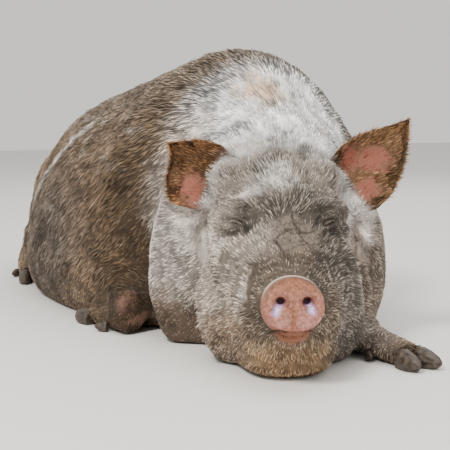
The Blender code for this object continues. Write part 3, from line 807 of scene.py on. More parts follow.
# %% [markdown]
# ## The mouth
#
# The mouth is shut. Its line runs round the front of the jaw, under the disc, and sags towards the corners.
# It is cut by height rather than drawn as a path, since the line goes right round the muzzle.

# %% Close the mouth to a line
MOUTH_HEIGHT = 0.0822
MOUTH_SAG = 0.024
MOUTH_WIDEST = math.radians(82)
MOUTH_CENTRE_BACK = 0.105
LINE_WIDTH = 0.0016
LINE_DEPTH = 0.0030
LIP_FORWARD = 0.0062


def mouth_distance(points):
    """How far above the line of the mouth each point lies, and how far it is from being part of it."""
    back, left, height = head_distances(points)
    angle = np.arctan2(left, MOUTH_CENTRE_BACK - back)
    size = np.abs(angle)
    line = MOUTH_HEIGHT - MOUTH_SAG * np.sin(np.minimum(size * 1.25, math.pi / 2)) ** 2
    line += 0.010 * np.maximum(0.0, size / MOUTH_WIDEST - 0.7)
    held = fade(size, MOUTH_WIDEST, MOUTH_WIDEST * 0.85) * (back < 0.12)
    held = held * (1.0 - 0.60 * fade(np.abs(left), 0.022, 0.034))
    return height - line, held


above, held = mouth_distance(skin_points)
mouth_normals = normals_of(skin.data)
line_share = np.exp(-((above / LINE_WIDTH) ** 2)) * held
crease_depth = -LINE_DEPTH * line_share
lip_swell = 0.0012 * np.exp(-(((np.abs(above) - 0.0065) / 0.0040) ** 2))
skin_points += mouth_normals * (crease_depth + lip_swell * held)[:, None]
back, left, height = head_distances(skin_points)
lip_reach = np.sqrt((left / 0.030) ** 2 + ((height - 0.0725) / 0.0095) ** 2 + (back / 0.050) ** 2)
skin_points += FORWARD * (LIP_FORWARD * fade(lip_reach, 1.20, 0.25))[:, None]
place_points(skin.data, skin_points)
# The mouth line is added to the painted shade of the creases.
skin.data.attributes["crease_shade"].data.foreach_set("value", np.maximum(crease_shade, line_share).astype(np.float32))
print("Deepest point of the mouth:", round(float(crease_depth.min()) * 1000, 1), "mm")

# %% [markdown]
# ## Living unevenness
#
# No hide is as even as a computed one. A few long, slow waves and some shorter ones stand for fat, muscle and
# crusted dirt. Sums of sine waves with mixed directions give this quickly for every point at once, and they
# are the same on each run.

# %% Make the surface a little uneven
random = np.random.default_rng(7)


def waves(points, size, count=9):
    """A smooth, wandering value near -1 to 1 for every point, with hills about size apart."""
    directions = unit(random.normal(size=(count, 3)))
    lengths = size * random.uniform(0.6, 1.8, count)
    phases = random.uniform(0, 2 * math.pi, count)
    total = np.zeros(len(points))
    for direction, length, phase in zip(directions, lengths, phases):
        total += np.sin(points @ direction * (2 * math.pi / length) + phase)
    return total / math.sqrt(count)


skin_normals = normals_of(skin.data)
smooth_places = fade(np.linalg.norm(skin_points - DISC_CENTRE, axis=1), 0.045, 0.075)
for side in (-1, 1):
    smooth_places *= fade(np.linalg.norm(skin_points - EYE_CENTRES[side], axis=1), 0.016, 0.030)
uneven = 0.0012 * waves(skin_points, 0.070) + 0.0006 * waves(skin_points, 0.022)
uneven -= 0.0012
skin_points += skin_normals * (uneven * smooth_places * fade(skin_points[:, 2], 0.004, 0.030))[:, None]
skin_points[:, 2] = np.maximum(skin_points[:, 2], 0.0006)
place_points(skin.data, skin_points)
print("The surface wanders by about", round(float(uneven.std()) * 1000, 2), "mm")

# %% [markdown]
# ## Unwrapping the skin
#
# Colours can be baked onto a flat map, and the hairs must find their colour on it too. So the skin is cut
# into triangles, unwrapped once, and each hair later borrows the place of its root on this map.

# %% Triangles, smooth shading and a map
only(skin)
bpy.ops.object.mode_set(mode="EDIT")
bpy.ops.mesh.select_all(action="SELECT")
bpy.ops.mesh.quads_convert_to_tris()
bpy.ops.uv.smart_project(angle_limit=math.radians(70), island_margin=0.002)
bpy.ops.object.mode_set(mode="OBJECT")
bpy.ops.object.shade_smooth()
skin.data.uv_layers[0].name = "OFBake"
print("Finished skin:", len(skin.data.polygons), "triangles")
skin.data.calc_loop_triangles()
corner_points = points_of(skin.data)[np.array([list(face.vertices) for face in skin.data.polygons])]
across = np.cross(corner_points[:, 1], corner_points[:, 2])
held = (corner_points[:, 0] * across).sum() / 6
print("The skin holds", round(held * 1000, 1), "litres. A sum above 0 says that its faces point outwards")

# %% [markdown]
# ## Small helpers for materials
#
# Every finish here is worked out by nodes from the place on the animal. The same few steps come back all the
# time: a sum, a mix of two colours, and a soft patch round a point. Each gets a one-line helper.

# %% Helpers that add nodes


def add_node(tree, kind, **settings):
    made = tree.nodes.new(kind)
    for name, value in settings.items():
        setattr(made, name, value)
    return made


def connect(tree, source, socket):
    """Links a socket to a socket, or sets it when the source is a plain value."""
    if isinstance(source, bpy.types.NodeSocket):
        tree.links.new(source, socket)
    else:
        socket.default_value = source


def maths(tree, operation, first, second=0.0, clamp=False):
    made = add_node(tree, "ShaderNodeMath", operation=operation, use_clamp=clamp)
    connect(tree, first, made.inputs[0])
    connect(tree, second, made.inputs[1])
    return made.outputs[0]


def vector_maths(tree, operation, first, second, output=0):
    made = add_node(tree, "ShaderNodeVectorMath", operation=operation)
    connect(tree, first, made.inputs[0])
    connect(tree, second, made.inputs[1])
    return made.outputs[output]


def ramp(tree, value, start, end, low=0.0, high=1.0):
    """A smooth step from low, at start, to high, at end."""
    made = add_node(tree, "ShaderNodeMapRange", interpolation_type="SMOOTHSTEP")
    connect(tree, value, made.inputs["Value"])
    for label, number in (("From Min", start), ("From Max", end), ("To Min", low), ("To Max", high)):
        connect(tree, number, made.inputs[label])
    return made.outputs["Result"]


def blend(tree, share, first, second, kind="MIX"):
    made = add_node(tree, "ShaderNodeMix", data_type="RGBA", blend_type=kind, clamp_factor=True)
    connect(tree, share, made.inputs[0])
    connect(tree, first, made.inputs[6])
    connect(tree, second, made.inputs[7])
    return made.outputs[2]


def noise(tree, place, size, detail=3.0, roughness=0.55, stretch=None):
    """Noise with hills about size apart."""
    if stretch is not None:
        place = vector_maths(tree, "MULTIPLY", place, stretch)
    made = add_node(tree, "ShaderNodeTexNoise", noise_dimensions="3D")
    connect(tree, place, made.inputs["Vector"])
    made.inputs["Scale"].default_value = 1.0 / size
    made.inputs["Detail"].default_value = detail
    made.inputs["Roughness"].default_value = roughness
    return made


def patch(tree, place, centre, radii, soft=0.45):
    """A mask that is 1 inside an oval round a point and fades out at its edge."""
    offset = vector_maths(tree, "SUBTRACT", place, centre)
    scaled = vector_maths(tree, "DIVIDE", offset, radii)
    reach = vector_maths(tree, "LENGTH", scaled, (0.0, 0.0, 0.0), output=1)
    return ramp(tree, reach, 1.0 + soft, 1.0 - soft)


def attribute(tree, name, output):
    """A value that the mesh carries at its points."""
    made = add_node(tree, "ShaderNodeAttribute", attribute_name=name)
    return made.outputs[output]


def new_group(name, inputs, outputs):
    """An empty node group with named sockets, and its input and output nodes."""
    group = bpy.data.node_groups.new(name, "ShaderNodeTree")
    for label, kind in inputs:
        group.interface.new_socket(label, in_out="INPUT", socket_type=kind)
    for label, kind in outputs:
        group.interface.new_socket(label, in_out="OUTPUT", socket_type=kind)
    return group, group.nodes.new("NodeGroupInput"), group.nodes.new("NodeGroupOutput")


def place_group(tree, group, **values):
    made = tree.nodes.new("ShaderNodeGroup")
    made.node_tree = group
    for label, value in values.items():
        connect(tree, value, made.inputs[label.replace("_", " ")])
    return made


def new_material(name):
    made = bpy.data.materials.new(name)
    made.use_nodes = True
    tree = made.node_tree
    return made, tree, tree.nodes["Principled BSDF"]


print("Node helpers are ready")

# %% [markdown]
# ## The animal's markings
#
# This pig is a grey-white one that has rolled in brown earth. The neck and withers are clean and nearly
# white, the flanks are caked brown, the face is grizzled, and bare pink skin shows on the disc, the lip, the
# insides of the ears and in a few worn places. Skin and hair need the same colours in the same places, so
# the colours are worked out once, in a node group that is asked for a place on the body. The colours could
# be painted by hand instead, but then the hairs would have no way to ask for theirs.
#
# Each patch is an oval with a soft edge. The place is shaken by noise first, so no edge is a clean curve.

# %% The palette
def tint(red, green, blue):
    return (red, green, blue, 1.0)


CAKED_BROWN = tint(0.250, 0.168, 0.104)
FLANK_DARK = tint(0.118, 0.096, 0.080)
DUSTY_STREAK = tint(0.480, 0.430, 0.370)
STREAK_WHITE = tint(0.820, 0.790, 0.750)
BACK_GREY = tint(0.160, 0.128, 0.098)
NECK_WHITE = tint(0.880, 0.865, 0.860)
NECK_TAN = tint(0.530, 0.370, 0.240)
NECK_SIDE = tint(0.740, 0.665, 0.600)
NECK_LOW = tint(0.185, 0.115, 0.066)
NECK_SHADED = tint(0.380, 0.305, 0.245)
FOREHEAD_GREY = tint(0.195, 0.162, 0.134)
FOREHEAD_WHITE = tint(0.780, 0.730, 0.670)
BROW_DARK = tint(0.090, 0.070, 0.052)
BRIDGE_MUD = tint(0.160, 0.126, 0.106)
MUZZLE_GREY = tint(0.215, 0.162, 0.116)
CHEEK_GREY = tint(0.590, 0.500, 0.425)
CHEEK_LOW = tint(0.345, 0.228, 0.140)
CHEEK_SHADED = tint(0.300, 0.256, 0.222)
CHIN_BROWN = tint(0.620, 0.400, 0.210)
PALE_HAIR_AND_HIGHLIGHT = tint(0.860, 0.760, 0.700)
DISC_PINK = tint(0.355, 0.146, 0.106)
DISC_DEEP = tint(0.260, 0.085, 0.058)
NOSTRIL_LINING_AND_SHADE = tint(0.040, 0.010, 0.012)
LILAC_REFLECTION = tint(0.570, 0.400, 0.740)
LIP_PINK = tint(0.255, 0.100, 0.054)
BARE_PINK = tint(0.380, 0.190, 0.150)
EAR_BROWN = tint(0.315, 0.172, 0.078)
EAR_RUST = tint(0.245, 0.112, 0.042)
DISC_ORANGE = tint(0.290, 0.116, 0.058)
DISC_LILAC = tint(0.500, 0.235, 0.215)
NOSTRIL_EDGE = tint(0.180, 0.066, 0.042)
EAR_PINK = tint(0.225, 0.060, 0.032)
SHOULDER_BROWN = tint(0.100, 0.062, 0.032)
DISC_SPECK = tint(0.700, 0.480, 0.420)
RIM_HIGHLIGHT = tint(0.740, 0.620, 0.540)
WET_HIGHLIGHT = tint(0.820, 0.760, 0.920)
HAIR_BLEACHED = tint(0.84, 0.78, 0.71)
IRIS_DARK = tint(0.030, 0.014, 0.008)
IRIS_LIGHT = tint(0.120, 0.060, 0.028)
EYE_BROWN = tint(0.050, 0.030, 0.024)
PUPIL_BLACK = tint(0.004, 0.004, 0.004)
HORN_DARK = tint(0.018, 0.013, 0.010)
HORN_LIGHT = tint(0.082, 0.060, 0.043)
HORN_DUST = tint(0.130, 0.094, 0.064)
FLOOR_PALE = tint(0.72, 0.70, 0.67)
print("The palette is set")

# %% Build the markings group
# Places on the trunk are given as the world's x, y and z, and places on the head as left, back and height.
TRUNK_PATCHES = [
    (BACK_GREY, 0.85, (0.00, 0.05, 0.42), (0.24, 0.60, 0.14), 0.50),
    (FLANK_DARK, 0.85, (-0.29, 0.10, 0.14), (0.12, 0.22, 0.16), 0.60),
    (FLANK_DARK, 0.85, (0.29, 0.05, 0.14), (0.12, 0.30, 0.13), 0.60),
    (SHOULDER_BROWN, 0.85, (-0.22, -0.25, 0.16), (0.09, 0.06, 0.20), 0.50),
    (SHOULDER_BROWN, 0.85, (0.22, -0.25, 0.14), (0.09, 0.06, 0.18), 0.50),
]
ELBOW_PATCHES = [
    (SHOULDER_BROWN, 1.00, (-0.268, -0.335, 0.050), (0.060, 0.050, 0.075), 0.20),
    (SHOULDER_BROWN, 1.00, (-0.245, -0.300, 0.120), (0.045, 0.040, 0.110), 0.25),
]
# The pale streak on the flank is a line of points, taken closer together from side to side than they are, so
# that the line reaches the skin wherever it bulges.
STREAK_SQUASH = np.array((0.30, 1.0, 1.0))
STREAK_LINE = [(-0.262, 0.225, 0.205), (-0.250, 0.175, 0.258), (-0.222, 0.095, 0.324), (-0.195, 0.020, 0.358)]
STREAK_RADIUS = 0.0115
# These stop at the groove between the neck and the shoulder.
NECK_PATCHES = [
    (NECK_SHADED, 1.00, (0.16, -0.46, 0.20), (0.20, 0.22, 0.26), 0.30),
    (NECK_SIDE, 1.00, (-0.22, -0.46, 0.20), (0.18, 0.22, 0.25), 0.20),
    (NECK_WHITE, 1.00, (0.01, -0.47, 0.40), (0.23, 0.24, 0.20), 0.35),
    (NECK_LOW, 0.90, (-0.21, -0.44, 0.01), (0.16, 0.20, 0.075), 0.50),
    (NECK_TAN, 0.95, (-0.025, -0.385, 0.42), (0.035, 0.055, 0.040), 0.60),
    (NECK_TAN, 0.55, (-0.010, -0.330, 0.49), (0.120, 0.060, 0.022), 0.60),
    (NECK_TAN, 0.45, (-0.16, -0.36, 0.33), (0.05, 0.06, 0.05), 0.60),
]
HEAD_PATCHES = [
    (FOREHEAD_GREY, 1.00, (0.000, 0.235, 0.265), (0.135, 0.130, 0.085), 0.35),
    (CHEEK_GREY, 1.00, (-0.095, 0.150, 0.120), (0.090, 0.110, 0.120), 0.35),
    (CHEEK_SHADED, 1.00, (0.110, 0.170, 0.130), (0.085, 0.120, 0.130), 0.35),
    (CHEEK_LOW, 0.85, (-0.080, 0.110, 0.045), (0.080, 0.090, 0.045), 0.50),
    (MUZZLE_GREY, 1.00, (0.000, 0.055, 0.120), (0.080, 0.085, 0.085), 0.35),
    (CHIN_BROWN, 0.85, (0.000, 0.060, 0.030), (0.065, 0.070, 0.036), 0.45),
    (BROW_DARK, 0.55, (-0.066, 0.185, 0.217), (0.024, 0.030, 0.012), 0.70),
    (BROW_DARK, 0.70, (0.066, 0.185, 0.224), (0.036, 0.045, 0.024), 0.70),
    (BROW_DARK, 0.50, (0.000, 0.190, 0.244), (0.045, 0.030, 0.018), 0.70),
    (BROW_DARK, 0.70, (0.075, 0.140, 0.180), (0.030, 0.060, 0.050), 0.50),
    (FOREHEAD_WHITE, 0.95, (-0.008, 0.235, 0.285), (0.032, 0.045, 0.030), 0.50),
    (FOREHEAD_WHITE, 0.60, (-0.050, 0.215, 0.262), (0.025, 0.030, 0.018), 0.60),
    # Pale hair under the right eye.
    (PALE_HAIR_AND_HIGHLIGHT, 0.75, (-0.098, 0.190, 0.180), (0.014, 0.032, 0.022), 0.50),
    # Painted highlight on the ridge of the neck's left side.
    (PALE_HAIR_AND_HIGHLIGHT, 0.70, (0.143, 0.305, 0.182), (0.012, 0.030, 0.036), 0.45),
    (NECK_WHITE, 0.60, (0.030, 0.340, 0.350), (0.080, 0.050, 0.026), 0.40),
]
# The painted highlight on the ridge beside the snout follows a line of its own, also as left, back and
# height.
RIDGE_HIGHLIGHT = [
    ((-0.055, 0.084, 0.156), (-0.064, 0.076, 0.141)),
    ((-0.064, 0.076, 0.141), (-0.068, 0.060, 0.124)),
    ((-0.068, 0.060, 0.124), (-0.070, 0.055, 0.108)),
]
# Ears are patched the same way. Their pink comes last, over the brown.
EAR_PATCHES = [
    (EAR_RUST, 1.00, (-0.140, 0.305, 0.290), (0.120, 0.120, 0.120), 0.15),
    (EAR_BROWN, 1.00, (0.160, 0.320, 0.295), (0.120, 0.120, 0.120), 0.15),
]
EAR_PINKS = [
    ((-0.134, 0.304, 0.256), (0.017, 0.030, 0.028), 0.40),
    ((-0.080, 0.295, 0.314), (0.010, 0.025, 0.012), 0.50),
    ((0.158, 0.322, 0.304), (0.027, 0.030, 0.020), 0.45),
    ((0.145, 0.312, 0.254), (0.018, 0.030, 0.020), 0.45),
    ((0.120, 0.316, 0.302), (0.015, 0.025, 0.022), 0.50),
]
BODY_PINKS = [
    ((-0.270, -0.100, 0.008), (0.050, 0.060, 0.016), 0.60),
    ((-0.252, -0.337, 0.060), (0.030, 0.016, 0.016), 0.70),
    ((-0.238, -0.328, 0.018), (0.030, 0.020, 0.014), 0.70),
    ((0.037, -0.479, 0.349), (0.016, 0.016, 0.016), 0.50),
    ((0.245, -0.333, 0.040), (0.030, 0.030, 0.018), 0.60),
]

markings, asked, given = new_group(
    "Pig markings",
    [("Place", "NodeSocketVector"), ("Ear", "NodeSocketFloat"), ("Disc", "NodeSocketFloat")],
    [
        ("Colour", "NodeSocketColor"),
        ("Bare", "NodeSocketFloat"),
        ("Mud", "NodeSocketFloat"),
        ("Wet", "NodeSocketFloat"),
        ("Paleness", "NodeSocketFloat"),
    ],
)
place = asked.outputs["Place"]
wander = noise(markings, place, 0.045, detail=4.0, roughness=0.62)
shake = vector_maths(markings, "SUBTRACT", wander.outputs["Color"], (0.5, 0.5, 0.5))
far_shake = vector_maths(markings, "MULTIPLY", shake, (0.11, 0.11, 0.11))
near_shake = vector_maths(markings, "MULTIPLY", shake, (0.035, 0.035, 0.035))
trunk_place = vector_maths(markings, "ADD", place, far_shake)


def head_place(tree, source):
    """Left, back and height, from a place in the world."""
    offset = vector_maths(tree, "SUBTRACT", source, tuple(SNOUT_FOOT))
    turn = add_node(tree, "ShaderNodeVectorRotate", rotation_type="Z_AXIS")
    connect(tree, offset, turn.inputs["Vector"])
    turn.inputs["Angle"].default_value = HEAD_TURN
    return turn.outputs["Vector"]


def line_mask(tree, source, start, end, radius, soft=0.4):
    """A mask that is 1 along a straight line and fades out beside it."""
    way = np.array(end) - np.array(start)
    offset = vector_maths(tree, "SUBTRACT", source, tuple(start))
    along = vector_maths(tree, "DOT_PRODUCT", offset, tuple(way / (way @ way)), output=1)
    along = maths(tree, "MINIMUM", maths(tree, "MAXIMUM", along, 0.0), 1.0)
    nearest = add_node(tree, "ShaderNodeVectorMath", operation="SCALE")
    nearest.inputs[0].default_value = tuple(way)
    connect(tree, along, nearest.inputs["Scale"])
    gap = vector_maths(tree, "SUBTRACT", offset, nearest.outputs[0])
    reach = vector_maths(tree, "LENGTH", gap, (0.0, 0.0, 0.0), output=1)
    return ramp(tree, reach, radius * (1.0 + soft), radius * (1.0 - soft))


exact_head = head_place(markings, place)
soft_head = vector_maths(markings, "ADD", exact_head, near_shake)

# %% Lay the patches over one another


def lay(colour, patches, place, within=None):
    """Lays patches over a colour one after another, only inside a mask when one is given."""
    for shade, strength, centre, radii, soft in patches:
        mask = maths(markings, "MULTIPLY", patch(markings, place, centre, radii, soft), strength)
        if within is not None:
            mask = maths(markings, "MULTIPLY", mask, within)
        colour = blend(markings, mask, colour, shade)
    return colour


colour = lay(CAKED_BROWN, TRUNK_PATCHES, trunk_place)
streak_place = vector_maths(markings, "ADD", place, near_shake)
streak_split = add_node(markings, "ShaderNodeSeparateXYZ")
connect(markings, streak_place, streak_split.inputs[0])
on_neck = ramp(markings, streak_split.outputs["Y"], -0.275, -0.345)
squashed = vector_maths(markings, "MULTIPLY", streak_place, tuple(STREAK_SQUASH))
streak = 0.0
for start, end in zip(STREAK_LINE, STREAK_LINE[1:]):
    mask = line_mask(
        markings, squashed, STREAK_SQUASH * start, STREAK_SQUASH * end, STREAK_RADIUS, soft=0.9
    )
    streak = maths(markings, "MAXIMUM", streak, mask)
flakes = noise(markings, place, 0.018, detail=4.0, roughness=0.7, stretch=(1.0, 0.5, 1.0))
flaked = ramp(markings, flakes.outputs["Fac"], 0.40, 0.56, 0.20, 0.95)
colour = blend(markings, maths(markings, "MULTIPLY", streak, flaked), colour, STREAK_WHITE)
colour = lay(colour, NECK_PATCHES, trunk_place, on_neck)
colour = lay(colour, ELBOW_PATCHES, streak_place)
colour = lay(colour, HEAD_PATCHES, soft_head)
# Painted highlight along the ridge beside the snout.
for start, end in RIDGE_HIGHLIGHT:
    mask = maths(markings, "MULTIPLY", line_mask(markings, soft_head, start, end, 0.0045), 0.85)
    colour = blend(markings, mask, colour, PALE_HAIR_AND_HIGHLIGHT)
colour = lay(colour, EAR_PATCHES, soft_head, asked.outputs["Ear"])
print("Nodes in the markings so far:", len(markings.nodes))

# %% [markdown]
# Dirt is never even. Broad clouds make whole areas lighter or darker, streaks run along the trunk, and a fine
# grain of crumbs and gaps breaks up the rest. On the low parts of the body, where it lies in the dust, the
# coat is browner.

# %% Weather the colours
clouds = noise(markings, place, 0.060, detail=5.0, roughness=0.68)
cloudy = ramp(markings, clouds.outputs["Fac"], 0.30, 0.72, 0.62, 1.40)
colour = blend(markings, 1.0, colour, cloudy, "MULTIPLY")
streaks = noise(markings, place, 0.016, detail=3.0, roughness=0.6, stretch=(1.0, 0.28, 0.75))
streaky = ramp(markings, streaks.outputs["Fac"], 0.30, 0.72, 0.66, 1.36)
colour = blend(markings, 1.0, colour, streaky, "MULTIPLY")
split = add_node(markings, "ShaderNodeSeparateXYZ")
connect(markings, place, split.inputs[0])
on_trunk = ramp(markings, split.outputs["Y"], -0.36, -0.24)
dust = noise(markings, place, 0.034, detail=5.0, roughness=0.7, stretch=(1.0, 0.35, 1.0))
dust_high = ramp(markings, split.outputs["Z"], 0.02, 0.40, 0.10, 0.75)
dusty = maths(markings, "MULTIPLY", ramp(markings, dust.outputs["Fac"], 0.54, 0.70), dust_high)
colour = blend(markings, maths(markings, "MULTIPLY", dusty, on_trunk), colour, DUSTY_STREAK)

# %% Find the bare skin
bare = 0.0
ragged = noise(markings, place, 0.014, detail=5.0, roughness=0.7)
ragged = vector_maths(markings, "SUBTRACT", ragged.outputs["Color"], (0.5, 0.5, 0.5))
ragged = vector_maths(markings, "MULTIPLY", ragged, (0.05, 0.05, 0.05))
ear_place = vector_maths(markings, "ADD", exact_head, ragged)
for centre, radii, soft in EAR_PINKS:
    bare = maths(markings, "MAXIMUM", bare, patch(markings, ear_place, centre, radii, soft))
bare = maths(markings, "MULTIPLY", bare, asked.outputs["Ear"])
ear_bare = bare
for centre, radii, soft in BODY_PINKS:
    worn = maths(markings, "MULTIPLY", patch(markings, trunk_place, centre, radii, soft), 0.50)
    bare = maths(markings, "MAXIMUM", bare, worn)
colour = blend(markings, maths(markings, "MULTIPLY", bare, 0.85), colour, BARE_PINK)
colour = blend(markings, maths(markings, "MULTIPLY", ear_bare, 0.92), colour, EAR_PINK)

# %% [markdown]
# ### Disc, nostrils and lip
#
# These have firm edges, so they are asked for by the exact place, not the shaken one.

# %% Colour the disc and the lip
disc_mask = ramp(markings, asked.outputs["Disc"], 1.03, 0.99)
lip_mask = patch(markings, soft_head, (0.0, 0.014, 0.0765), (0.0300, 0.030, 0.0100), 0.45)
speckle = noise(markings, place, 0.006, detail=4.0, roughness=0.7)
speckled = ramp(markings, speckle.outputs["Fac"], 0.45, 0.62, 0.0, 0.90)
disc_colour = blend(markings, speckled, DISC_PINK, DISC_ORANGE)
light_specks = noise(markings, place, 0.0035, detail=3.0, roughness=0.7)
light_specks = ramp(markings, light_specks.outputs["Fac"], 0.56, 0.70, 0.0, 0.55)
disc_colour = blend(markings, light_specks, disc_colour, DISC_SPECK)
blush = noise(markings, place, 0.020, detail=2.0)
blushing = ramp(markings, blush.outputs["Fac"], 0.45, 0.70, 0.0, 0.50)
disc_colour = blend(markings, blushing, disc_colour, DISC_DEEP)
DISC_PATCHES = [
    (DISC_LILAC, 0.45, (-0.018, 0.0, 0.098), (0.015, 0.030, 0.012), 0.7),
    (DISC_LILAC, 0.45, (0.018, 0.0, 0.098), (0.015, 0.030, 0.012), 0.7),
    (DISC_ORANGE, 0.75, (0.0, 0.0, 0.148), (0.030, 0.030, 0.014), 0.6),
    (DISC_ORANGE, 0.80, (0.0, 0.0, 0.106), (0.0042, 0.030, 0.022), 0.6),
    (DISC_DEEP, 0.75, (0.0, 0.0, 0.084), (0.038, 0.030, 0.009), 0.6),
    (NOSTRIL_EDGE, 0.85, (-0.0185, 0.0, 0.1275), (0.0110, 0.030, 0.0085), 0.6),
    (NOSTRIL_EDGE, 0.85, (0.0185, 0.0, 0.1275), (0.0110, 0.030, 0.0085), 0.6),
]
disc_colour = lay(disc_colour, DISC_PATCHES, exact_head)
pits = noise(markings, place, 0.0046, detail=4.0, roughness=0.75)
pitted = ramp(markings, pits.outputs["Fac"], 0.38, 0.60, 0.66, 1.16)
disc_colour = blend(markings, 1.0, disc_colour, pitted, "MULTIPLY")
head_split = add_node(markings, "ShaderNodeSeparateXYZ")
connect(markings, exact_head, head_split.inputs[0])
upper_half = ramp(markings, head_split.outputs["Z"], 0.122, 0.145)
# Painted shadow just under the upper rim of the disc.
shadow_under_rim = maths(markings, "MULTIPLY", ramp(markings, asked.outputs["Disc"], 0.84, 0.93), upper_half)
disc_colour = blend(markings, maths(markings, "MULTIPLY", shadow_under_rim, 0.55), disc_colour, BROW_DARK)
# Painted highlight along the top of the disc's rim.
rim_highlight = maths(markings, "MULTIPLY", ramp(markings, asked.outputs["Disc"], 0.960, 0.990), upper_half)
rim_highlight = maths(markings, "MULTIPLY", rim_highlight, 0.80)
disc_colour = blend(markings, rim_highlight, disc_colour, RIM_HIGHLIGHT)
colour = blend(markings, disc_mask, colour, disc_colour)
colour = blend(markings, lip_mask, colour, LIP_PINK)
wet = 0.0
nostril_lining_and_shade = 0.0
highlight_mask = 0.0
slightly = vector_maths(markings, "MULTIPLY", ragged, (0.30, 0.30, 0.30))
wet_place = vector_maths(markings, "ADD", exact_head, slightly)
for side in (-1, 1):
    hole_place = (side * NOSTRIL_SPREAD, 0.012, DISC_CENTRE[2] + NOSTRIL_RISE)
    inside = patch(markings, wet_place, hole_place, (0.0062, 0.018, 0.0054), 0.70)
    nostril_lining_and_shade = maths(markings, "MAXIMUM", nostril_lining_and_shade, inside)
    runny_start = (side * (NOSTRIL_SPREAD + 0.0012), 0.004, DISC_CENTRE[2] + NOSTRIL_RISE - 0.0050)
    runny_end = (side * (NOSTRIL_SPREAD + 0.0070), 0.000, DISC_CENTRE[2] + NOSTRIL_RISE - 0.0150)
    runny = line_mask(markings, wet_place, runny_start, runny_end, 0.0056, soft=0.8)
    wet = maths(markings, "MAXIMUM", wet, maths(markings, "MULTIPLY", runny, disc_mask))
    highlight_place = (side * (NOSTRIL_SPREAD + 0.0052), 0.0, DISC_CENTRE[2] + NOSTRIL_RISE - 0.0128)
    highlight_spot = patch(markings, wet_place, highlight_place, (0.0034, 0.030, 0.0046), 0.70)
    highlight_mask = maths(markings, "MAXIMUM", highlight_mask, maths(markings, "MULTIPLY", highlight_spot, disc_mask))
# Painted reflection, pale lilac, on the wet slits. The same wet mask also makes them glossy through the clear
# coat.
colour = blend(markings, maths(markings, "MULTIPLY", wet, 0.80), colour, LILAC_REFLECTION)
# Painted highlight at the lower end of each slit.
colour = blend(markings, maths(markings, "MULTIPLY", highlight_mask, 0.80), colour, WET_HIGHLIGHT)
# Dark lining of the nostrils, with painted shade in the pits.
colour = blend(markings, nostril_lining_and_shade, colour, NOSTRIL_LINING_AND_SHADE)
bare = maths(markings, "MAXIMUM", bare, maths(markings, "MAXIMUM", disc_mask, lip_mask))
print("Nodes with the disc:", len(markings.nodes))

# %% [markdown]
# ### Dried mud on the bridge
#
# Between the eyes and down to the disc lies a crust of dried mud, smooth and taupe, broken by cracks. Here it
# gets its colour and its mask. The long cracks are already cut into the skin. A finer net between them is
# relief with painted shade in its cracks, and comes with the hide.

# %% Cake the bridge with mud
mud = patch(markings, soft_head, (0.012, 0.128, 0.206), (0.040, 0.055, 0.030), 0.22)
mud_side = patch(markings, soft_head, (0.046, 0.140, 0.200), (0.026, 0.034, 0.030), 0.30)
mud = maths(markings, "MAXIMUM", mud, maths(markings, "MULTIPLY", mud_side, 0.8))
crumbs = noise(markings, place, 0.010, detail=5.0, roughness=0.7)
mud_colour = blend(markings, ramp(markings, crumbs.outputs["Fac"], 0.35, 0.68), BROW_DARK, BRIDGE_MUD)
colour = blend(markings, maths(markings, "MULTIPLY", mud, 0.92), colour, mud_colour)

# %% How pale the ends of the hairs are
pale_neck = patch(markings, trunk_place, (0.00, -0.47, 0.32), (0.30, 0.18, 0.28), 0.25)
pale_face = patch(markings, soft_head, (0.0, 0.180, 0.150), (0.190, 0.260, 0.220), 0.20)
pale = maths(markings, "MAXIMUM", maths(markings, "MULTIPLY", pale_neck, 0.80), 0.10)
pale = maths(markings, "MAXIMUM", pale, maths(markings, "MULTIPLY", pale_face, 0.46))
pale = maths(markings, "MULTIPLY", pale, ramp(markings, clouds.outputs["Fac"], 0.25, 0.60, 0.55, 1.0))
off_ear = ramp(markings, asked.outputs["Ear"], 0.0, 1.0, 1.0, 0.08)
pale = maths(markings, "MULTIPLY", pale, off_ear)
for label, source in (("Colour", colour), ("Bare", bare), ("Mud", mud), ("Wet", wet), ("Paleness", pale)):
    connect(markings, source, given.inputs[label])
print("The markings take", len(markings.nodes), "nodes")

# %% [markdown]
# ## Relief finer than the mesh
#
# Pores, the crumbs of dry mud and the lie of the shortest fur are too fine to model. One group works out
# their height, and both the hide and the horn use it with their own sizes.

# %% A group for fine grain
grain, asked, given = new_group(
    "Fine grain",
    [("Place", "NodeSocketVector"), ("Size", "NodeSocketFloat"), ("Cracks", "NodeSocketFloat")],
    [("Height", "NodeSocketFloat"), ("Shade", "NodeSocketFloat")],
)
size_vector = add_node(grain, "ShaderNodeCombineXYZ")
for axis in range(3):
    connect(grain, asked.outputs["Size"], size_vector.inputs[axis])
scaled = vector_maths(grain, "DIVIDE", asked.outputs["Place"], size_vector.outputs[0])
fur = noise(grain, scaled, 1.0, detail=6.0, roughness=0.72)
pores = add_node(grain, "ShaderNodeTexVoronoi", feature="F1")
connect(grain, scaled, pores.inputs["Vector"])
pores.inputs["Scale"].default_value = 0.8
pore_depth = ramp(grain, pores.outputs["Distance"], 0.0, 0.45)
bent = noise(grain, asked.outputs["Place"], 0.012, detail=3.0)
bend = vector_maths(grain, "MULTIPLY", bent.outputs["Color"], (0.012, 0.012, 0.012))
crack_place = vector_maths(grain, "ADD", asked.outputs["Place"], bend)
crack = add_node(grain, "ShaderNodeTexVoronoi", feature="DISTANCE_TO_EDGE")
connect(grain, crack_place, crack.inputs["Vector"])
crack.inputs["Scale"].default_value = 72.0
broken = noise(grain, asked.outputs["Place"], 0.018, detail=3.0)
crack_width = ramp(grain, broken.outputs["Fac"], 0.40, 0.60, 0.01, 0.16)
crack_gap = ramp(grain, crack.outputs["Distance"], 0.008, crack_width)
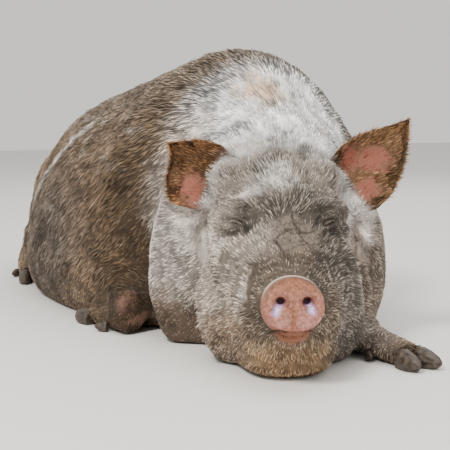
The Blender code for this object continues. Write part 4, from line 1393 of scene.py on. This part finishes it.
cracked = blend(grain, asked.outputs["Cracks"], tint(1.0, 1.0, 1.0), crack_gap)
height = maths(grain, "MULTIPLY", fur.outputs["Fac"], 0.6)
height = maths(grain, "ADD", height, maths(grain, "MULTIPLY", pore_depth, 0.25))
height = maths(grain, "ADD", height, maths(grain, "MULTIPLY", cracked, 0.9))
connect(grain, height, given.inputs["Height"])
# The Shade output darkens the cracks: painted shade.
connect(grain, cracked, given.inputs["Shade"])
print("The grain group takes", len(grain.nodes), "nodes")


def add_relief(tree, shader, height, strength, distance):
    """Turns a height into bumps in the finish."""
    relief = tree.nodes.new("ShaderNodeBump")
    relief.inputs["Strength"].default_value = strength
    relief.inputs["Distance"].default_value = distance
    connect(tree, height, relief.inputs["Height"])
    connect(tree, relief.outputs["Normal"], shader.inputs["Normal"])


# %% [markdown]
# ## Hide
#
# The hide shows between the hairs and is bare on the disc and the lip. It is dry and rough on the body, a
# little oily on the disc and wet in the nostrils. A thin clear coat, held by a mask, gives that wetness.

# %% Make the hide
hide, tree, shader = new_material("bristly hide")
where = tree.nodes.new("ShaderNodeTexCoord").outputs["Object"]
marked = place_group(
    tree, markings, Place=where, Ear=attribute(tree, "ear", "Fac"), Disc=attribute(tree, "disc", "Fac")
)
net = maths(tree, "MULTIPLY", marked.outputs["Mud"], 0.70)
grained = place_group(tree, grain, Place=where, Size=0.0026, Cracks=net)
# Painted shade in the fine net of cracks.
crack_shade = ramp(tree, grained.outputs["Shade"], 0.0, 0.8, 0.30, 1.0)
hide_colour = blend(tree, 1.0, marked.outputs["Colour"], crack_shade, "MULTIPLY")
# Painted shade: the hide between the hairs is darkened where it is covered, less under pale hair, and not
# where it is bare or muddy.
covered = maths(tree, "SUBTRACT", 1.0, maths(tree, "MAXIMUM", marked.outputs["Bare"], marked.outputs["Mud"]))
deep = ramp(tree, marked.outputs["Paleness"], 0.5, 0.8, 0.70, 0.30)
shadow = maths(tree, "SUBTRACT", 1.0, maths(tree, "MULTIPLY", covered, deep))
hide_colour = blend(tree, 1.0, hide_colour, shadow, "MULTIPLY")
# Painted shade in the folds, the cracks and the mouth line.
crease_shaded = ramp(tree, attribute(tree, "crease_shade", "Fac"), 0.20, 1.0, 1.0, 0.36)
hide_colour = blend(tree, 1.0, hide_colour, crease_shaded, "MULTIPLY")
connect(tree, hide_colour, shader.inputs["Base Color"])
connect(tree, ramp(tree, marked.outputs["Bare"], 0.0, 1.0, 0.88, 0.50), shader.inputs["Roughness"])
connect(tree, marked.outputs["Wet"], shader.inputs["Coat Weight"])
shader.inputs["Coat Roughness"].default_value = 0.12
shader.inputs["Specular IOR Level"].default_value = 0.35
leather = noise(tree, where, 0.0042, detail=3.0, roughness=0.6)
leather = maths(tree, "MULTIPLY", leather.outputs["Fac"], 4.5)
leather = maths(tree, "MULTIPLY", leather, marked.outputs["Bare"])
add_relief(tree, shader, maths(tree, "ADD", grained.outputs["Height"], leather), 0.55, 0.0012)
skin.data.materials.clear()
skin.data.materials.append(hide)
skin.data.polygons.foreach_set("material_index", np.zeros(len(skin.data.polygons), np.int32))
print("Hide:", len(tree.nodes), "nodes")

# %% [markdown]
# ## Hair
#
# A bristle takes the colour of the place where it grows. It carries that place with it as an attribute, next
# to a number of its own and a number that runs from 0 at the root to 1 at the tip. Ends are bleached by the
# sun, and some hairs are paler all over, which gives the grizzled look.

# %% Make the hair's finish
bristle, tree, shader = new_material("bristle")
root_place = attribute(tree, "root", "Vector")
strand = attribute(tree, "strand", "Fac")
along = attribute(tree, "along", "Fac")
marked = place_group(tree, markings, Place=root_place, Ear=attribute(tree, "ear", "Fac"), Disc=2.0)
paleness = marked.outputs["Paleness"]
darkest = ramp(tree, paleness, 0.5, 0.8, 0.15, 0.54)
lightest = ramp(tree, paleness, 0.5, 0.8, 1.62, 1.44)
own_shade = ramp(tree, strand, 0.15, 0.85, darkest, lightest)
hair_colour = blend(tree, 1.0, marked.outputs["Colour"], own_shade, "MULTIPLY")
# Painted shade: each hair darkens towards its root, less where the coat is pale.
root_shade = ramp(tree, along, 0.0, 0.8, ramp(tree, paleness, 0.5, 0.8, 0.34, 0.66), 1.15)
hair_colour = blend(tree, 1.0, hair_colour, root_shade, "MULTIPLY")
# Hairs rooted in a crease get painted shade, and their ends are bleached less.
in_crease_shade = ramp(tree, attribute(tree, "crease_shade", "Fac"), 0.06, 0.46, 1.0, 0.40)
hair_colour = blend(tree, 1.0, hair_colour, in_crease_shade, "MULTIPLY")
bleach = maths(tree, "MULTIPLY", ramp(tree, strand, 0.55, 0.90), paleness)
bleach = maths(tree, "MULTIPLY", bleach, in_crease_shade)
bleach = maths(tree, "MULTIPLY", bleach, ramp(tree, along, 0.1, 0.8, 0.30, 1.0))
hair_colour = blend(tree, bleach, hair_colour, HAIR_BLEACHED)
connect(tree, hair_colour, shader.inputs["Base Color"])
shader.inputs["Roughness"].default_value = 0.68
shader.inputs["Specular IOR Level"].default_value = 0.20
print("Bristle:", len(tree.nodes), "nodes")

# %% [markdown]
# ## Eyes
#
# The eyes are small, brown and wet. Pupil and iris are found from the angle between a point on the ball and
# the way the eye looks, so no picture is needed. The clear coat stands for the film of tears.

# %% Make the eyes wet
PUPIL_TURN = 0.955
IRIS_TURN = 0.30
eye_finish, tree, shader = new_material("wet eye")
where = tree.nodes.new("ShaderNodeTexCoord").outputs["Object"]
iris = 0.0
pupil = 0.0
for side in (-1, 1):
    look = eye_directions(side)[2]
    offset = vector_maths(tree, "SUBTRACT", where, tuple(EYE_CENTRES[side]))
    near = ramp(tree, vector_maths(tree, "LENGTH", offset, (0.0, 0.0, 0.0), output=1), 0.020, 0.018)
    facing = vector_maths(tree, "DOT_PRODUCT", offset, tuple(look / EYE_RADIUS), output=1)
    this_iris = ramp(tree, facing, IRIS_TURN - 0.04, IRIS_TURN + 0.04)
    this_pupil = ramp(tree, facing, PUPIL_TURN - 0.01, PUPIL_TURN + 0.01)
    iris = maths(tree, "MAXIMUM", iris, maths(tree, "MULTIPLY", near, this_iris))
    pupil = maths(tree, "MAXIMUM", pupil, maths(tree, "MULTIPLY", near, this_pupil))
fibres = noise(tree, where, 0.0016, detail=3.0)
iris_colour = blend(tree, fibres.outputs["Fac"], IRIS_DARK, IRIS_LIGHT)
eye_colour = blend(tree, iris, EYE_BROWN, iris_colour)
eye_colour = blend(tree, pupil, eye_colour, PUPIL_BLACK)
connect(tree, eye_colour, shader.inputs["Base Color"])
shader.inputs["Roughness"].default_value = 0.12
shader.inputs["Coat Weight"].default_value = 1.0
shader.inputs["Coat Roughness"].default_value = 0.03
for name in ("eye_left", "eye_right"):
    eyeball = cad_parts[name]
    eyeball.data.materials.clear()
    eyeball.data.materials.append(eye_finish)
    only(eyeball)
    bpy.ops.object.shade_smooth()
print("Eyes finished")

# %% [markdown]
# ## Claws
#
# Claws are horn: grey-brown, streaked from root to tip, scuffed at the edges and dusty. They are packed
# solids with the right shape, so they keep it and get this finish.

# %% Make the horn
horn, tree, shader = new_material("scuffed horn")
where = tree.nodes.new("ShaderNodeTexCoord").outputs["Object"]
grained = place_group(tree, grain, Place=where, Size=0.0016, Cracks=0.0)
streak = noise(tree, where, 0.004, detail=4.0, roughness=0.65, stretch=(1.0, 0.25, 1.0))
streaked = ramp(tree, streak.outputs["Fac"], 0.35, 0.68)
horn_colour = blend(tree, streaked, HORN_DARK, HORN_LIGHT)
dusting = noise(tree, where, 0.012, detail=4.0)
dusted = ramp(tree, dusting.outputs["Fac"], 0.48, 0.72, 0.0, 0.50)
horn_colour = blend(tree, dusted, horn_colour, HORN_DUST)
connect(tree, horn_colour, shader.inputs["Base Color"])
connect(tree, ramp(tree, streak.outputs["Fac"], 0.3, 0.7, 0.48, 0.72), shader.inputs["Roughness"])
add_relief(tree, shader, grained.outputs["Height"], 0.5, 0.0006)
claw_names = [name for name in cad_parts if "claw" in name]
for name in claw_names:
    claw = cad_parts[name]
    claw.data.materials.clear()
    claw.data.materials.append(horn)
print("Claws finished:", len(claw_names))

# %% [markdown]
# ## How the coat lies
#
# Bristles point away from the snout over the face, backwards along the trunk, down the flanks and out to the
# tips of the ears. This direction is worked out for any point and then laid into the skin, so that no hair
# sticks straight out. Particle hair would need to be combed by hand and can't be exported. These bristles
# are plain meshes from the start.

# %% Directions of the coat
EAR_ROOTS = {1: in_head(0.300, 0.094, 0.276), -1: in_head(0.300, -0.083, 0.288)}
EAR_ALONG = {
    1: unit(LEFT * 0.79 + UP * 0.60 - FORWARD * 0.06),
    -1: unit(LEFT * -0.86 + UP * 0.44 + FORWARD * 0.12),
}
EAR_SKIN = 0.0045
ear_trees = {1: surface_tree("ear_left"), -1: surface_tree("ear_right")}


def ear_share(points, side):
    """1 on the ear, 0 away from it, and how far out along the ear each point is."""
    offset = points - EAR_ROOTS[side]
    along = offset @ EAR_ALONG[side]
    near = np.linalg.norm(offset - EAR_ALONG[side] * 0.06, axis=1) < 0.16
    share = touching(ear_trees[side], points, near, EAR_SKIN)
    return share * fade(along, 0.004, 0.022), along


def coat_ways(points, normals, ears):
    """The way the coat lies at each point, along the surface, as unit vectors."""
    back, left, height = head_distances(points)
    flank = np.abs(normals[:, 0])
    trunk = np.tile(np.array([0.0, 1.0, 0.0]), (len(points), 1))
    trunk[:, 2] = -0.25 - 0.70 * flank * fade(points[:, 2], 0.45, 0.25)
    trunk[:, 0] = 0.25 * np.sign(points[:, 0]) * fade(np.abs(points[:, 0]), 0.02, 0.20)
    face = unit(points - in_head(-0.005, 0.0, 0.128))
    face[:, 2] -= 0.30 * fade(np.abs(left), 0.06, 0.12)
    fan = unit(points - in_head(0.160, 0.003, 0.212))
    fan_share = (fade(points[:, 2], 0.216, 0.238) * fade(np.abs(left), 0.11, 0.08))[:, None]
    face = face * (1 - fan_share) + fan * fan_share
    neck_share = fade(back, 0.29, 0.40)[:, None]
    ways = unit(face) * (1 - neck_share) + unit(trunk) * neck_share
    for side, (share, along) in ears.items():
        offset = points - EAR_ROOTS[side]
        sideways = offset - EAR_ALONG[side] * (offset @ EAR_ALONG[side])[:, None]
        out = EAR_ALONG[side] * 0.9 + unit(sideways) * (0.55 * fade(along, 0.015, 0.060))[:, None]
        ways = ways * (1 - share[:, None]) + out * share[:, None]
    feet = (fade(points[:, 2], 0.075, 0.05) * fade(np.abs(normals[:, 2]), 0.95, 0.8))[:, None]
    ways[:, 2:] -= 0.25 * feet
    ways -= normals * np.sum(ways * normals, axis=1, keepdims=True)
    return unit(ways)


print("The coat's directions are ready")

# %% [markdown]
# ## Where hairs grow, and how long they are
#
# Hair is densest and shortest on the face, and longest along the neck and back. None grows on the disc, the
# lips and the lids' edges, or where the animal rests on the ground. Little grows in the pink of the ears and
# through the mud.

# %% How many, how long, how wide
TRUNK_HAIRS = 72000.0
MORE_ON_RIGHT_SIDE = 70000.0
HEAD_HAIRS = 300000.0
NECK_SIDE_HAIRS = 230000.0
EAR_HAIRS = 330000.0
TRUNK_LENGTH = 0.0175
HEAD_LENGTH = 0.0112
NECK_SIDE_LENGTH = 0.0095
EAR_LENGTH = 0.0105
TRUNK_WIDTH = 0.00125
FINER_ON_HEAD = 0.00045
EAR_WIDTH = 0.00075


def oval(points, centre, radii):
    """The same soft patch as in the markings, for points in the head's own distances."""
    back, left, height = head_distances(points)
    offset = np.stack([left, back, height], axis=1) - np.array(centre)
    return fade(np.linalg.norm(offset / np.array(radii), axis=1), 1.25, 0.80)


def hair_free(points):
    """1 where no hair grows."""
    across, rise, out, share = disc_place(points)
    free = fade(share, 1.03, 0.98) * (np.abs(out) < 0.03)
    free = np.maximum(free, oval(points, (0.0, 0.014, 0.0790), (0.0275, 0.028, 0.0088)))
    for side in (-1, 1):
        a, u, o = eye_place(points, side)
        arch = np.sqrt((a / (OPENING_HALF_WIDTH * 1.40)) ** 2 + (u / (OPENING_HALF_HEIGHT * 2.0)) ** 2)
        free = np.maximum(free, fade(arch, 1.15, 0.95) * (o > 0.0) * (o < 0.03))
    return np.maximum(free, fade(points[:, 2], 0.006, 0.003))


def coat_here(points, normals, ears):
    """Hairs per square metre, and their length and width."""
    back, left, height = head_distances(points)
    head = fade(back, 0.40, 0.28)
    from_disc = np.linalg.norm(points - DISC_CENTRE, axis=1)
    seen_side = fade(normals[:, 0], 0.5, -0.2)
    count = TRUNK_HAIRS + MORE_ON_RIGHT_SIDE * seen_side
    count = count + (HEAD_HAIRS - count) * head
    length = TRUNK_LENGTH + 0.0025 * waves(points, 0.15)
    length = length + (HEAD_LENGTH - length) * head
    neck_side = fade(back, 0.52, 0.42) * fade(back, 0.24, 0.30) * fade(height, 0.37, 0.29)
    length = length + (NECK_SIDE_LENGTH - length) * neck_side
    length *= 1 - 0.30 * head * fade(height, 0.070, 0.040)
    count = count + (NECK_SIDE_HAIRS - count) * neck_side * (1 - head)
    length = length * (1 - 0.45 * fade(from_disc, 0.085, 0.045))
    length *= 1 + 0.45 * oval(points, (0.0, 0.245, 0.285), (0.060, 0.050, 0.035))
    width = np.full(len(points), TRUNK_WIDTH) - FINER_ON_HEAD * np.maximum(head, neck_side)
    ear = np.maximum(ears[1][0], ears[-1][0])
    count = count * (1 - ear) + EAR_HAIRS * ear
    length = length * (1 - ear) + EAR_LENGTH * ear
    width = width * (1 - ear) + EAR_WIDTH * ear
    pink = np.zeros(len(points))
    for centre, radii, soft in EAR_PINKS:
        pink = np.maximum(pink, oval(points, centre, radii))
    muddy = oval(points, (0.012, 0.128, 0.206), (0.040, 0.055, 0.030))
    below_mud = oval(points, (0.008, 0.080, 0.178), (0.048, 0.035, 0.024))
    count *= (1 - 0.88 * pink) * (1 - 0.82 * muddy) * (1 - 0.40 * below_mud)
    length *= 1 - 0.35 * below_mud
    foot = fade(points[:, 2], 0.09, 0.05) * (back > 0.30)
    length *= 1 - 0.45 * foot
    for side in (-1, 1):
        near_eye = fade(np.linalg.norm(points - EYE_CENTRES[side], axis=1), 0.040, 0.020)
        length *= 1 - 0.58 * near_eye
        width *= 1 - 0.15 * near_eye
    return count * (1 - hair_free(points)), length, width


# %% Scatter the roots over the skin
HAIR_BUDGET = 270000


def mesh_arrays(mesh):
    corners = np.empty(len(mesh.loops), np.int32)
    mesh.loops.foreach_get("vertex_index", corners)
    flat_map = np.empty(len(mesh.loops) * 2, np.float32)
    mesh.uv_layers[0].uv.foreach_get("vector", flat_map)
    return corners.reshape(-1, 3), flat_map.reshape(-1, 3, 2)


skin_points = points_of(skin.data)
skin_normals = normals_of(skin.data)
on_ear = np.maximum(ear_share(skin_points, 1)[0], ear_share(skin_points, -1)[0])
carry(skin.data, "ear", on_ear)
across, rise, out, share = disc_place(skin_points)
share = np.where(np.abs(out) < 0.030, np.minimum(share, 2.0), 2.0)
carry(skin.data, "disc", share)
triangles, flat_map = mesh_arrays(skin.data)
corner_points = skin_points[triangles]
middles = corner_points.mean(axis=1)
sides = np.cross(corner_points[:, 1] - corner_points[:, 0], corner_points[:, 2] - corner_points[:, 0])
areas = np.linalg.norm(sides, axis=1) / 2
face_ways = unit(sides)
ears_at_faces = {side: ear_share(middles, side) for side in (1, -1)}
face_count_wanted, face_lengths, face_widths = coat_here(middles, face_ways, ears_at_faces)
wanted = face_count_wanted * areas
print("Hairs that the coat asks for:", int(wanted.sum()), "and skin area", round(float(areas.sum()), 2))
wanted *= HAIR_BUDGET / wanted.sum()
steps_along = (np.arange(HAIR_BUDGET) + random.random(HAIR_BUDGET)) * wanted.sum() / HAIR_BUDGET
chosen = np.searchsorted(np.cumsum(wanted), steps_along)
chosen = np.minimum(chosen, len(triangles) - 1)
first = np.sqrt(random.random(HAIR_BUDGET))
second = random.random(HAIR_BUDGET)
shares = np.stack([1 - first, first * (1 - second), first * second], axis=1)
roots = (corner_points[chosen] * shares[:, :, None]).sum(axis=1)
root_normals = unit((skin_normals[triangles[chosen]] * shares[:, :, None]).sum(axis=1))
root_map = (flat_map[chosen] * shares[:, :, None]).sum(axis=1)
skin_crease_shade = np.empty(len(skin_points), np.float32)
skin.data.attributes["crease_shade"].data.foreach_get("value", skin_crease_shade)
root_crease_shade = (skin_crease_shade[triangles[chosen]] * shares).sum(axis=1)
print("Roots placed:", len(roots))

# %% [markdown]
# ## Growing the coat
#
# Each bristle is a thin, three-sided spike that leaves the skin at a low angle and bends down along the lie.
# Neighbours lean together into locks, as damp and dusty hair does. Long ones have a bend in the middle, and
# the short undercoat is straight, which saves faces for more hairs.

# %% Lean, bend and gather the hairs
CLEAR_OF_FLOOR = 0.0012
UNDERCOAT_SHARE = 0.78
LOCK_EVERY = 4
LOCK_PULL = 0.34
BRISTLE_SIZE = (1.25, 1.35)
UNDERCOAT_SIZE = (0.90, 0.85)
RISE = 0.022
RISE_SCATTER = 0.014
MORE_RISE_OF_BRISTLES = 0.035
lock_middles = np.arange(0, len(roots), LOCK_EVERY)
lock_tree = kdtree.KDTree(len(lock_middles))
for index, middle in enumerate(lock_middles):
    lock_tree.insert(roots[middle], index)
lock_tree.balance()
lock_of = np.array([lock_tree.find(point)[1] for point in roots])
lock_swing = random.normal(0, 0.08, len(lock_middles))[lock_of]
lock_length = random.uniform(0.85, 1.20, len(lock_middles))[lock_of]
lock_rise = random.normal(0.0, RISE_SCATTER, len(lock_middles))[lock_of]
lock_shade = random.random(len(lock_middles))[lock_of]
root_ears = {side: (share[chosen], along[chosen]) for side, (share, along) in ears_at_faces.items()}
ways = coat_ways(roots, root_normals, root_ears)
across_ways = np.cross(root_normals, ways)
swing = 0.16 * waves(roots, 0.050) + 0.08 * waves(roots, 0.016)
swing += lock_swing + random.normal(0, 0.07, len(roots))
ways = unit(ways * np.cos(swing)[:, None] + across_ways * np.sin(swing)[:, None])
is_bent = random.random(len(roots)) > UNDERCOAT_SHARE
lengths = face_lengths[chosen] * lock_length * random.uniform(0.80, 1.15, len(roots))
lengths *= np.where(is_bent, BRISTLE_SIZE[0], UNDERCOAT_SIZE[0])
widths = face_widths[chosen] * random.uniform(0.75, 1.25, len(roots))
widths *= np.where(is_bent, BRISTLE_SIZE[1], UNDERCOAT_SIZE[1])
rise_share = RISE + lock_rise + random.normal(0, RISE_SCATTER, len(roots)) + MORE_RISE_OF_BRISTLES * is_bent
rise_share = np.clip(rise_share, 0.01, 0.25)
tips = roots + ways * lengths[:, None] + root_normals * (lengths * rise_share)[:, None]
pulled = (tips[lock_middles[lock_of]] - tips) * (LOCK_PULL * random.uniform(0.6, 1.0, len(roots)))[:, None]
pulled *= np.minimum(1.0, 0.8 * lengths / np.maximum(np.linalg.norm(pulled, axis=1), 1e-6))[:, None]
tips += pulled
tips[:, 2] = np.maximum(tips[:, 2], CLEAR_OF_FLOOR)
lock_part = 0.72 - 0.14 * fade(head_distances(roots)[0], 0.45, 0.30)
shades = lock_part * lock_shade + (1 - lock_part) * random.random(len(roots))
shades = np.where(is_bent, 0.38 + 0.62 * shades, 0.72 * shades)
root_on_ear = np.maximum(root_ears[1][0], root_ears[-1][0])
print("Locks:", len(lock_middles))

# %% [markdown]
# ## Lashes
#
# A pig has stiff upper lashes that shade its small eyes. They grow from the edge of the upper lid, out over
# the slit and down. They join the same lists as the other bristles, so they get the same mesh and finish.

# %% Grow the lashes
LASHES_EACH = 11
LASH_LENGTH = 0.0060
LASH_WIDTH = 0.0009
lash_roots = []
lash_tips = []
for side in (-1, 1):
    across_way, up_way, look = eye_directions(side)
    for turn in np.linspace(-0.85, 0.85, LASHES_EACH):
        arch = OPENING_HALF_HEIGHT * 1.25 * math.cos(turn * 1.3)
        edge = across_way * (turn * OPENING_HALF_WIDTH) + up_way * arch
        reach = math.sqrt((EYE_RADIUS + 0.0022) ** 2 - edge @ edge)
        root = EYE_CENTRES[side] + edge + look * reach
        lean = across_way * turn * 0.30 - up_way * 0.85 + look * 0.50
        lash_roots.append(root)
        lash_tips.append(root + unit(lean) * LASH_LENGTH * (1.0 - 0.3 * abs(turn)))
lash_roots = np.array(lash_roots)
nearest = np.array([lock_middles[lock_tree.find(point)[1]] for point in lash_roots])
roots = np.concatenate([roots, lash_roots])
tips = np.concatenate([tips, np.array(lash_tips)])
root_normals = np.concatenate([root_normals, root_normals[nearest]])
root_map = np.concatenate([root_map, root_map[nearest]])
widths = np.concatenate([widths, np.full(len(lash_roots), LASH_WIDTH)])
shades = np.concatenate([shades, np.full(len(lash_roots), 0.70)])
is_bent = np.concatenate([is_bent, np.ones(len(lash_roots), bool)])
root_on_ear = np.concatenate([root_on_ear, np.zeros(len(lash_roots))])
root_crease_shade = np.concatenate([root_crease_shade, np.zeros(len(lash_roots))])
print("Lashes:", len(lash_roots))

# %% Turn hairs into meshes
PATCH_ON_MAP = 0.0015
LIFT_AT_BEND = 0.20
BEND_PLACE = 0.52
BEND_THICKNESS = 0.90
ROOT_DEPTH = 0.0006


def hair_mesh(name, picked, bent):
    """One mesh of many hairs. A bent hair has a ring in the middle, a straight one hasn't."""
    root = roots[picked] - root_normals[picked] * ROOT_DEPTH
    tip = tips[picked]
    normal = root_normals[picked]
    reach = tip - root
    sideways = unit(np.cross(normal, reach))
    upward = unit(np.cross(reach, sideways))
    half = widths[picked][:, None] / 2
    rings = [(root, 1.0, 0.0)]
    if bent:
        lift = normal * (np.linalg.norm(reach, axis=1) * 0.5 * LIFT_AT_BEND * 0.5)[:, None]
        rings.append((root + reach * BEND_PLACE + lift, BEND_THICKNESS, BEND_PLACE))
    rows = []
    shares_along = []
    for centre, thickness, share in rings:
        for side, up in ((-1.0, -0.25), (1.0, -0.25), (0.0, 0.55)):
            rows.append(centre + sideways * side * half * thickness + upward * up * half * thickness)
            shares_along.append(share)
    rows.append(tip)
    shares_along.append(1.0)
    points_each = len(rows)
    faces = [(0, 2, 1)]
    for ring in range(len(rings) - 1):
        low = ring * 3
        for corner in range(3):
            after = (corner + 1) % 3
            faces.append((low + corner, low + after, low + 3 + after))
            faces.append((low + corner, low + 3 + after, low + 3 + corner))
    low = (len(rings) - 1) * 3
    for corner in range(3):
        faces.append((low + corner, low + (corner + 1) % 3, points_each - 1))
    count = len(picked)
    points = np.stack(rows, axis=1).reshape(-1, 3)
    points[:, 2] = np.maximum(points[:, 2], 0.0003)
    pattern = np.array(faces, np.int32)
    corners = (np.arange(count, dtype=np.int32)[:, None, None] * points_each + pattern[None]).ravel()
    mesh = bpy.data.meshes.new(name)
    mesh.vertices.add(len(points))
    mesh.vertices.foreach_set("co", points.astype(np.float32).ravel())
    mesh.loops.add(len(corners))
    mesh.loops.foreach_set("vertex_index", corners)
    mesh.polygons.add(len(corners) // 3)
    mesh.polygons.foreach_set("loop_start", np.arange(0, len(corners), 3, dtype=np.int32))
    mesh.update(calc_edges=True)
    along = np.tile(np.array(shares_along, np.float32), count)
    across = np.tile(np.array([-1.0, 1.0, 0.0] * len(rings) + [0.0], np.float32), count)
    root_attribute = mesh.attributes.new("root", "FLOAT_VECTOR", "POINT")
    carried = np.repeat(roots[picked], points_each, axis=0)
    root_attribute.data.foreach_set("vector", carried.astype(np.float32).ravel())
    for word, values in (("strand", shades), ("ear", root_on_ear), ("crease_shade", root_crease_shade)):
        carry(mesh, word, np.repeat(values[picked], points_each))
    carry(mesh, "along", along)
    layer = mesh.uv_layers.new(name="OFBake")
    on_map = np.repeat(root_map[picked], points_each, axis=0)
    on_map = on_map + np.stack([across, along * 2 - 1], axis=1) * PATCH_ON_MAP
    layer.uv.foreach_set("vector", on_map[corners].astype(np.float32).ravel())
    mesh.materials.append(bristle)
    piece = bpy.data.objects.new(name, mesh)
    bpy.context.scene.collection.objects.link(piece)
    only(piece)
    bpy.ops.object.shade_smooth()
    return piece


# %% Grow the coat in pieces from the snout to the tail
PIECE_TRIANGLES = 190000
BENT_TRIANGLES = 10
STRAIGHT_TRIANGLES = 4
order = np.argsort(head_distances(roots)[0] + random.normal(0, 0.01, len(roots)))
coat = []
for word, bent, each in (("bristles", True, BENT_TRIANGLES), ("undercoat", False, STRAIGHT_TRIANGLES)):
    members = order[is_bent[order] == bent]
    pieces = math.ceil(len(members) * each / PIECE_TRIANGLES)
    for number, picked in enumerate(np.array_split(members, pieces)):
        coat.append(hair_mesh(f"coat_{word}_{number + 1}", picked, bent))
total = sum(len(piece.data.polygons) for piece in coat)
print("Coat pieces:", len(coat), "with", total, "triangles")

# %% [markdown]
# ## What moves with what
#
# This animal is one still body, so every new piece rides on the same one. The skin stands for all the packed
# flesh, which stays hidden and carries the weight and the contacts.

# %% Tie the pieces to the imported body
skin.name = "hide"
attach(skin, "root")
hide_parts(*FLESH, "ear_left", "ear_right")
for piece in coat:
    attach(piece, "root")
print("Pieces that ride:", 1 + len(coat))

# %% [markdown]
# ## Floor and light
#
# The ground is a plain pale floor and the light is soft, as under a bright sky with thin cloud. The strongest
# light comes from the upper left, a weaker one from the front and one from behind, and an even fill comes
# from all round. A hard lamp would draw the hairs better, but it would make the hide look like plastic.

# %% Lay the floor
bpy.ops.object.select_all(action="DESELECT")
bpy.ops.mesh.primitive_plane_add(size=14.0, location=(0.0, 0.0, -0.0004))
floor = bpy.context.view_layer.objects.active
floor.name = "floor"
bpy.ops.object.transform_apply(location=True, rotation=True, scale=True)
floor_finish, tree, shader = new_material("pale floor")
shader.inputs["Base Color"].default_value = FLOOR_PALE
shader.inputs["Roughness"].default_value = 0.9
floor.data.materials.append(floor_finish)
floor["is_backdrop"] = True
print("Floor laid")

# %% Set the lights
def soft_light(name, place, aim, size, power, warmth):
    bpy.ops.object.light_add(type="AREA", location=place)
    light = bpy.context.view_layer.objects.active
    light.name = name
    light.data.size = size
    light.data.energy = power
    light.data.color = warmth
    light.rotation_euler = (Vector(aim) - Vector(place)).to_track_quat("-Z", "Y").to_euler()
    return light


soft_light("key_light", (-2.3, -1.9, 2.9), (-0.05, -0.35, 0.2), 0.9, 155.0, (1.0, 0.97, 0.92))
soft_light("sky_light", (0.4, -0.3, 3.2), (0.0, -0.2, 0.2), 2.4, 56.0, (1.0, 0.98, 0.95))
soft_light("front_light", (0.6, -3.8, 1.3), (-0.1, -0.6, 0.2), 2.0, 27.0, (1.0, 0.98, 0.95))
soft_light("back_light", (1.8, 2.4, 2.2), (0.0, 0.0, 0.3), 1.6, 30.0, (1.0, 0.99, 0.97))
world = bpy.data.worlds.new("soft sky")
world.use_nodes = True
world.node_tree.nodes["Background"].inputs["Color"].default_value = (1.0, 0.98, 0.95, 1.0)
world.node_tree.nodes["Background"].inputs["Strength"].default_value = 0.92
bpy.context.scene.world = world
print("Lights set")

# %% [markdown]
# ## Camera
#
# The view is that of somebody crouching in front of the animal, a little to its right, with a long lens. A
# long lens keeps the snout from looking too large against the body.

# %% Place the camera
CAMERA_PLACE = (-0.963, -2.228, 0.401)
CAMERA_TURN = math.radians(25)
CAMERA_DIP = math.radians(6)
bpy.ops.object.camera_add(location=CAMERA_PLACE)
camera = bpy.context.view_layer.objects.active
camera.name = "view"
camera.data.lens = 96.0
camera.data.sensor_width = 36.0
ahead = Vector(
    (
        math.sin(CAMERA_TURN) * math.cos(CAMERA_DIP),
        math.cos(CAMERA_TURN) * math.cos(CAMERA_DIP),
        -math.sin(CAMERA_DIP),
    )
)
camera.rotation_euler = ahead.to_track_quat("-Z", "Y").to_euler()
bpy.context.scene.camera = camera
print("The camera looks towards", [round(value, 3) for value in ahead])

# %% [markdown]
# ## Last measurements
#
# The dressed model must fill the same space as the solids. Its box is printed.

# %% Measure and finish
bpy.context.view_layer.update()
dressed_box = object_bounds()
for word, corner in (("from", dressed_box[0]), ("to", dressed_box[1])):
    print("Dressed, the pig reaches", word, [round(v, 3) for v in corner])
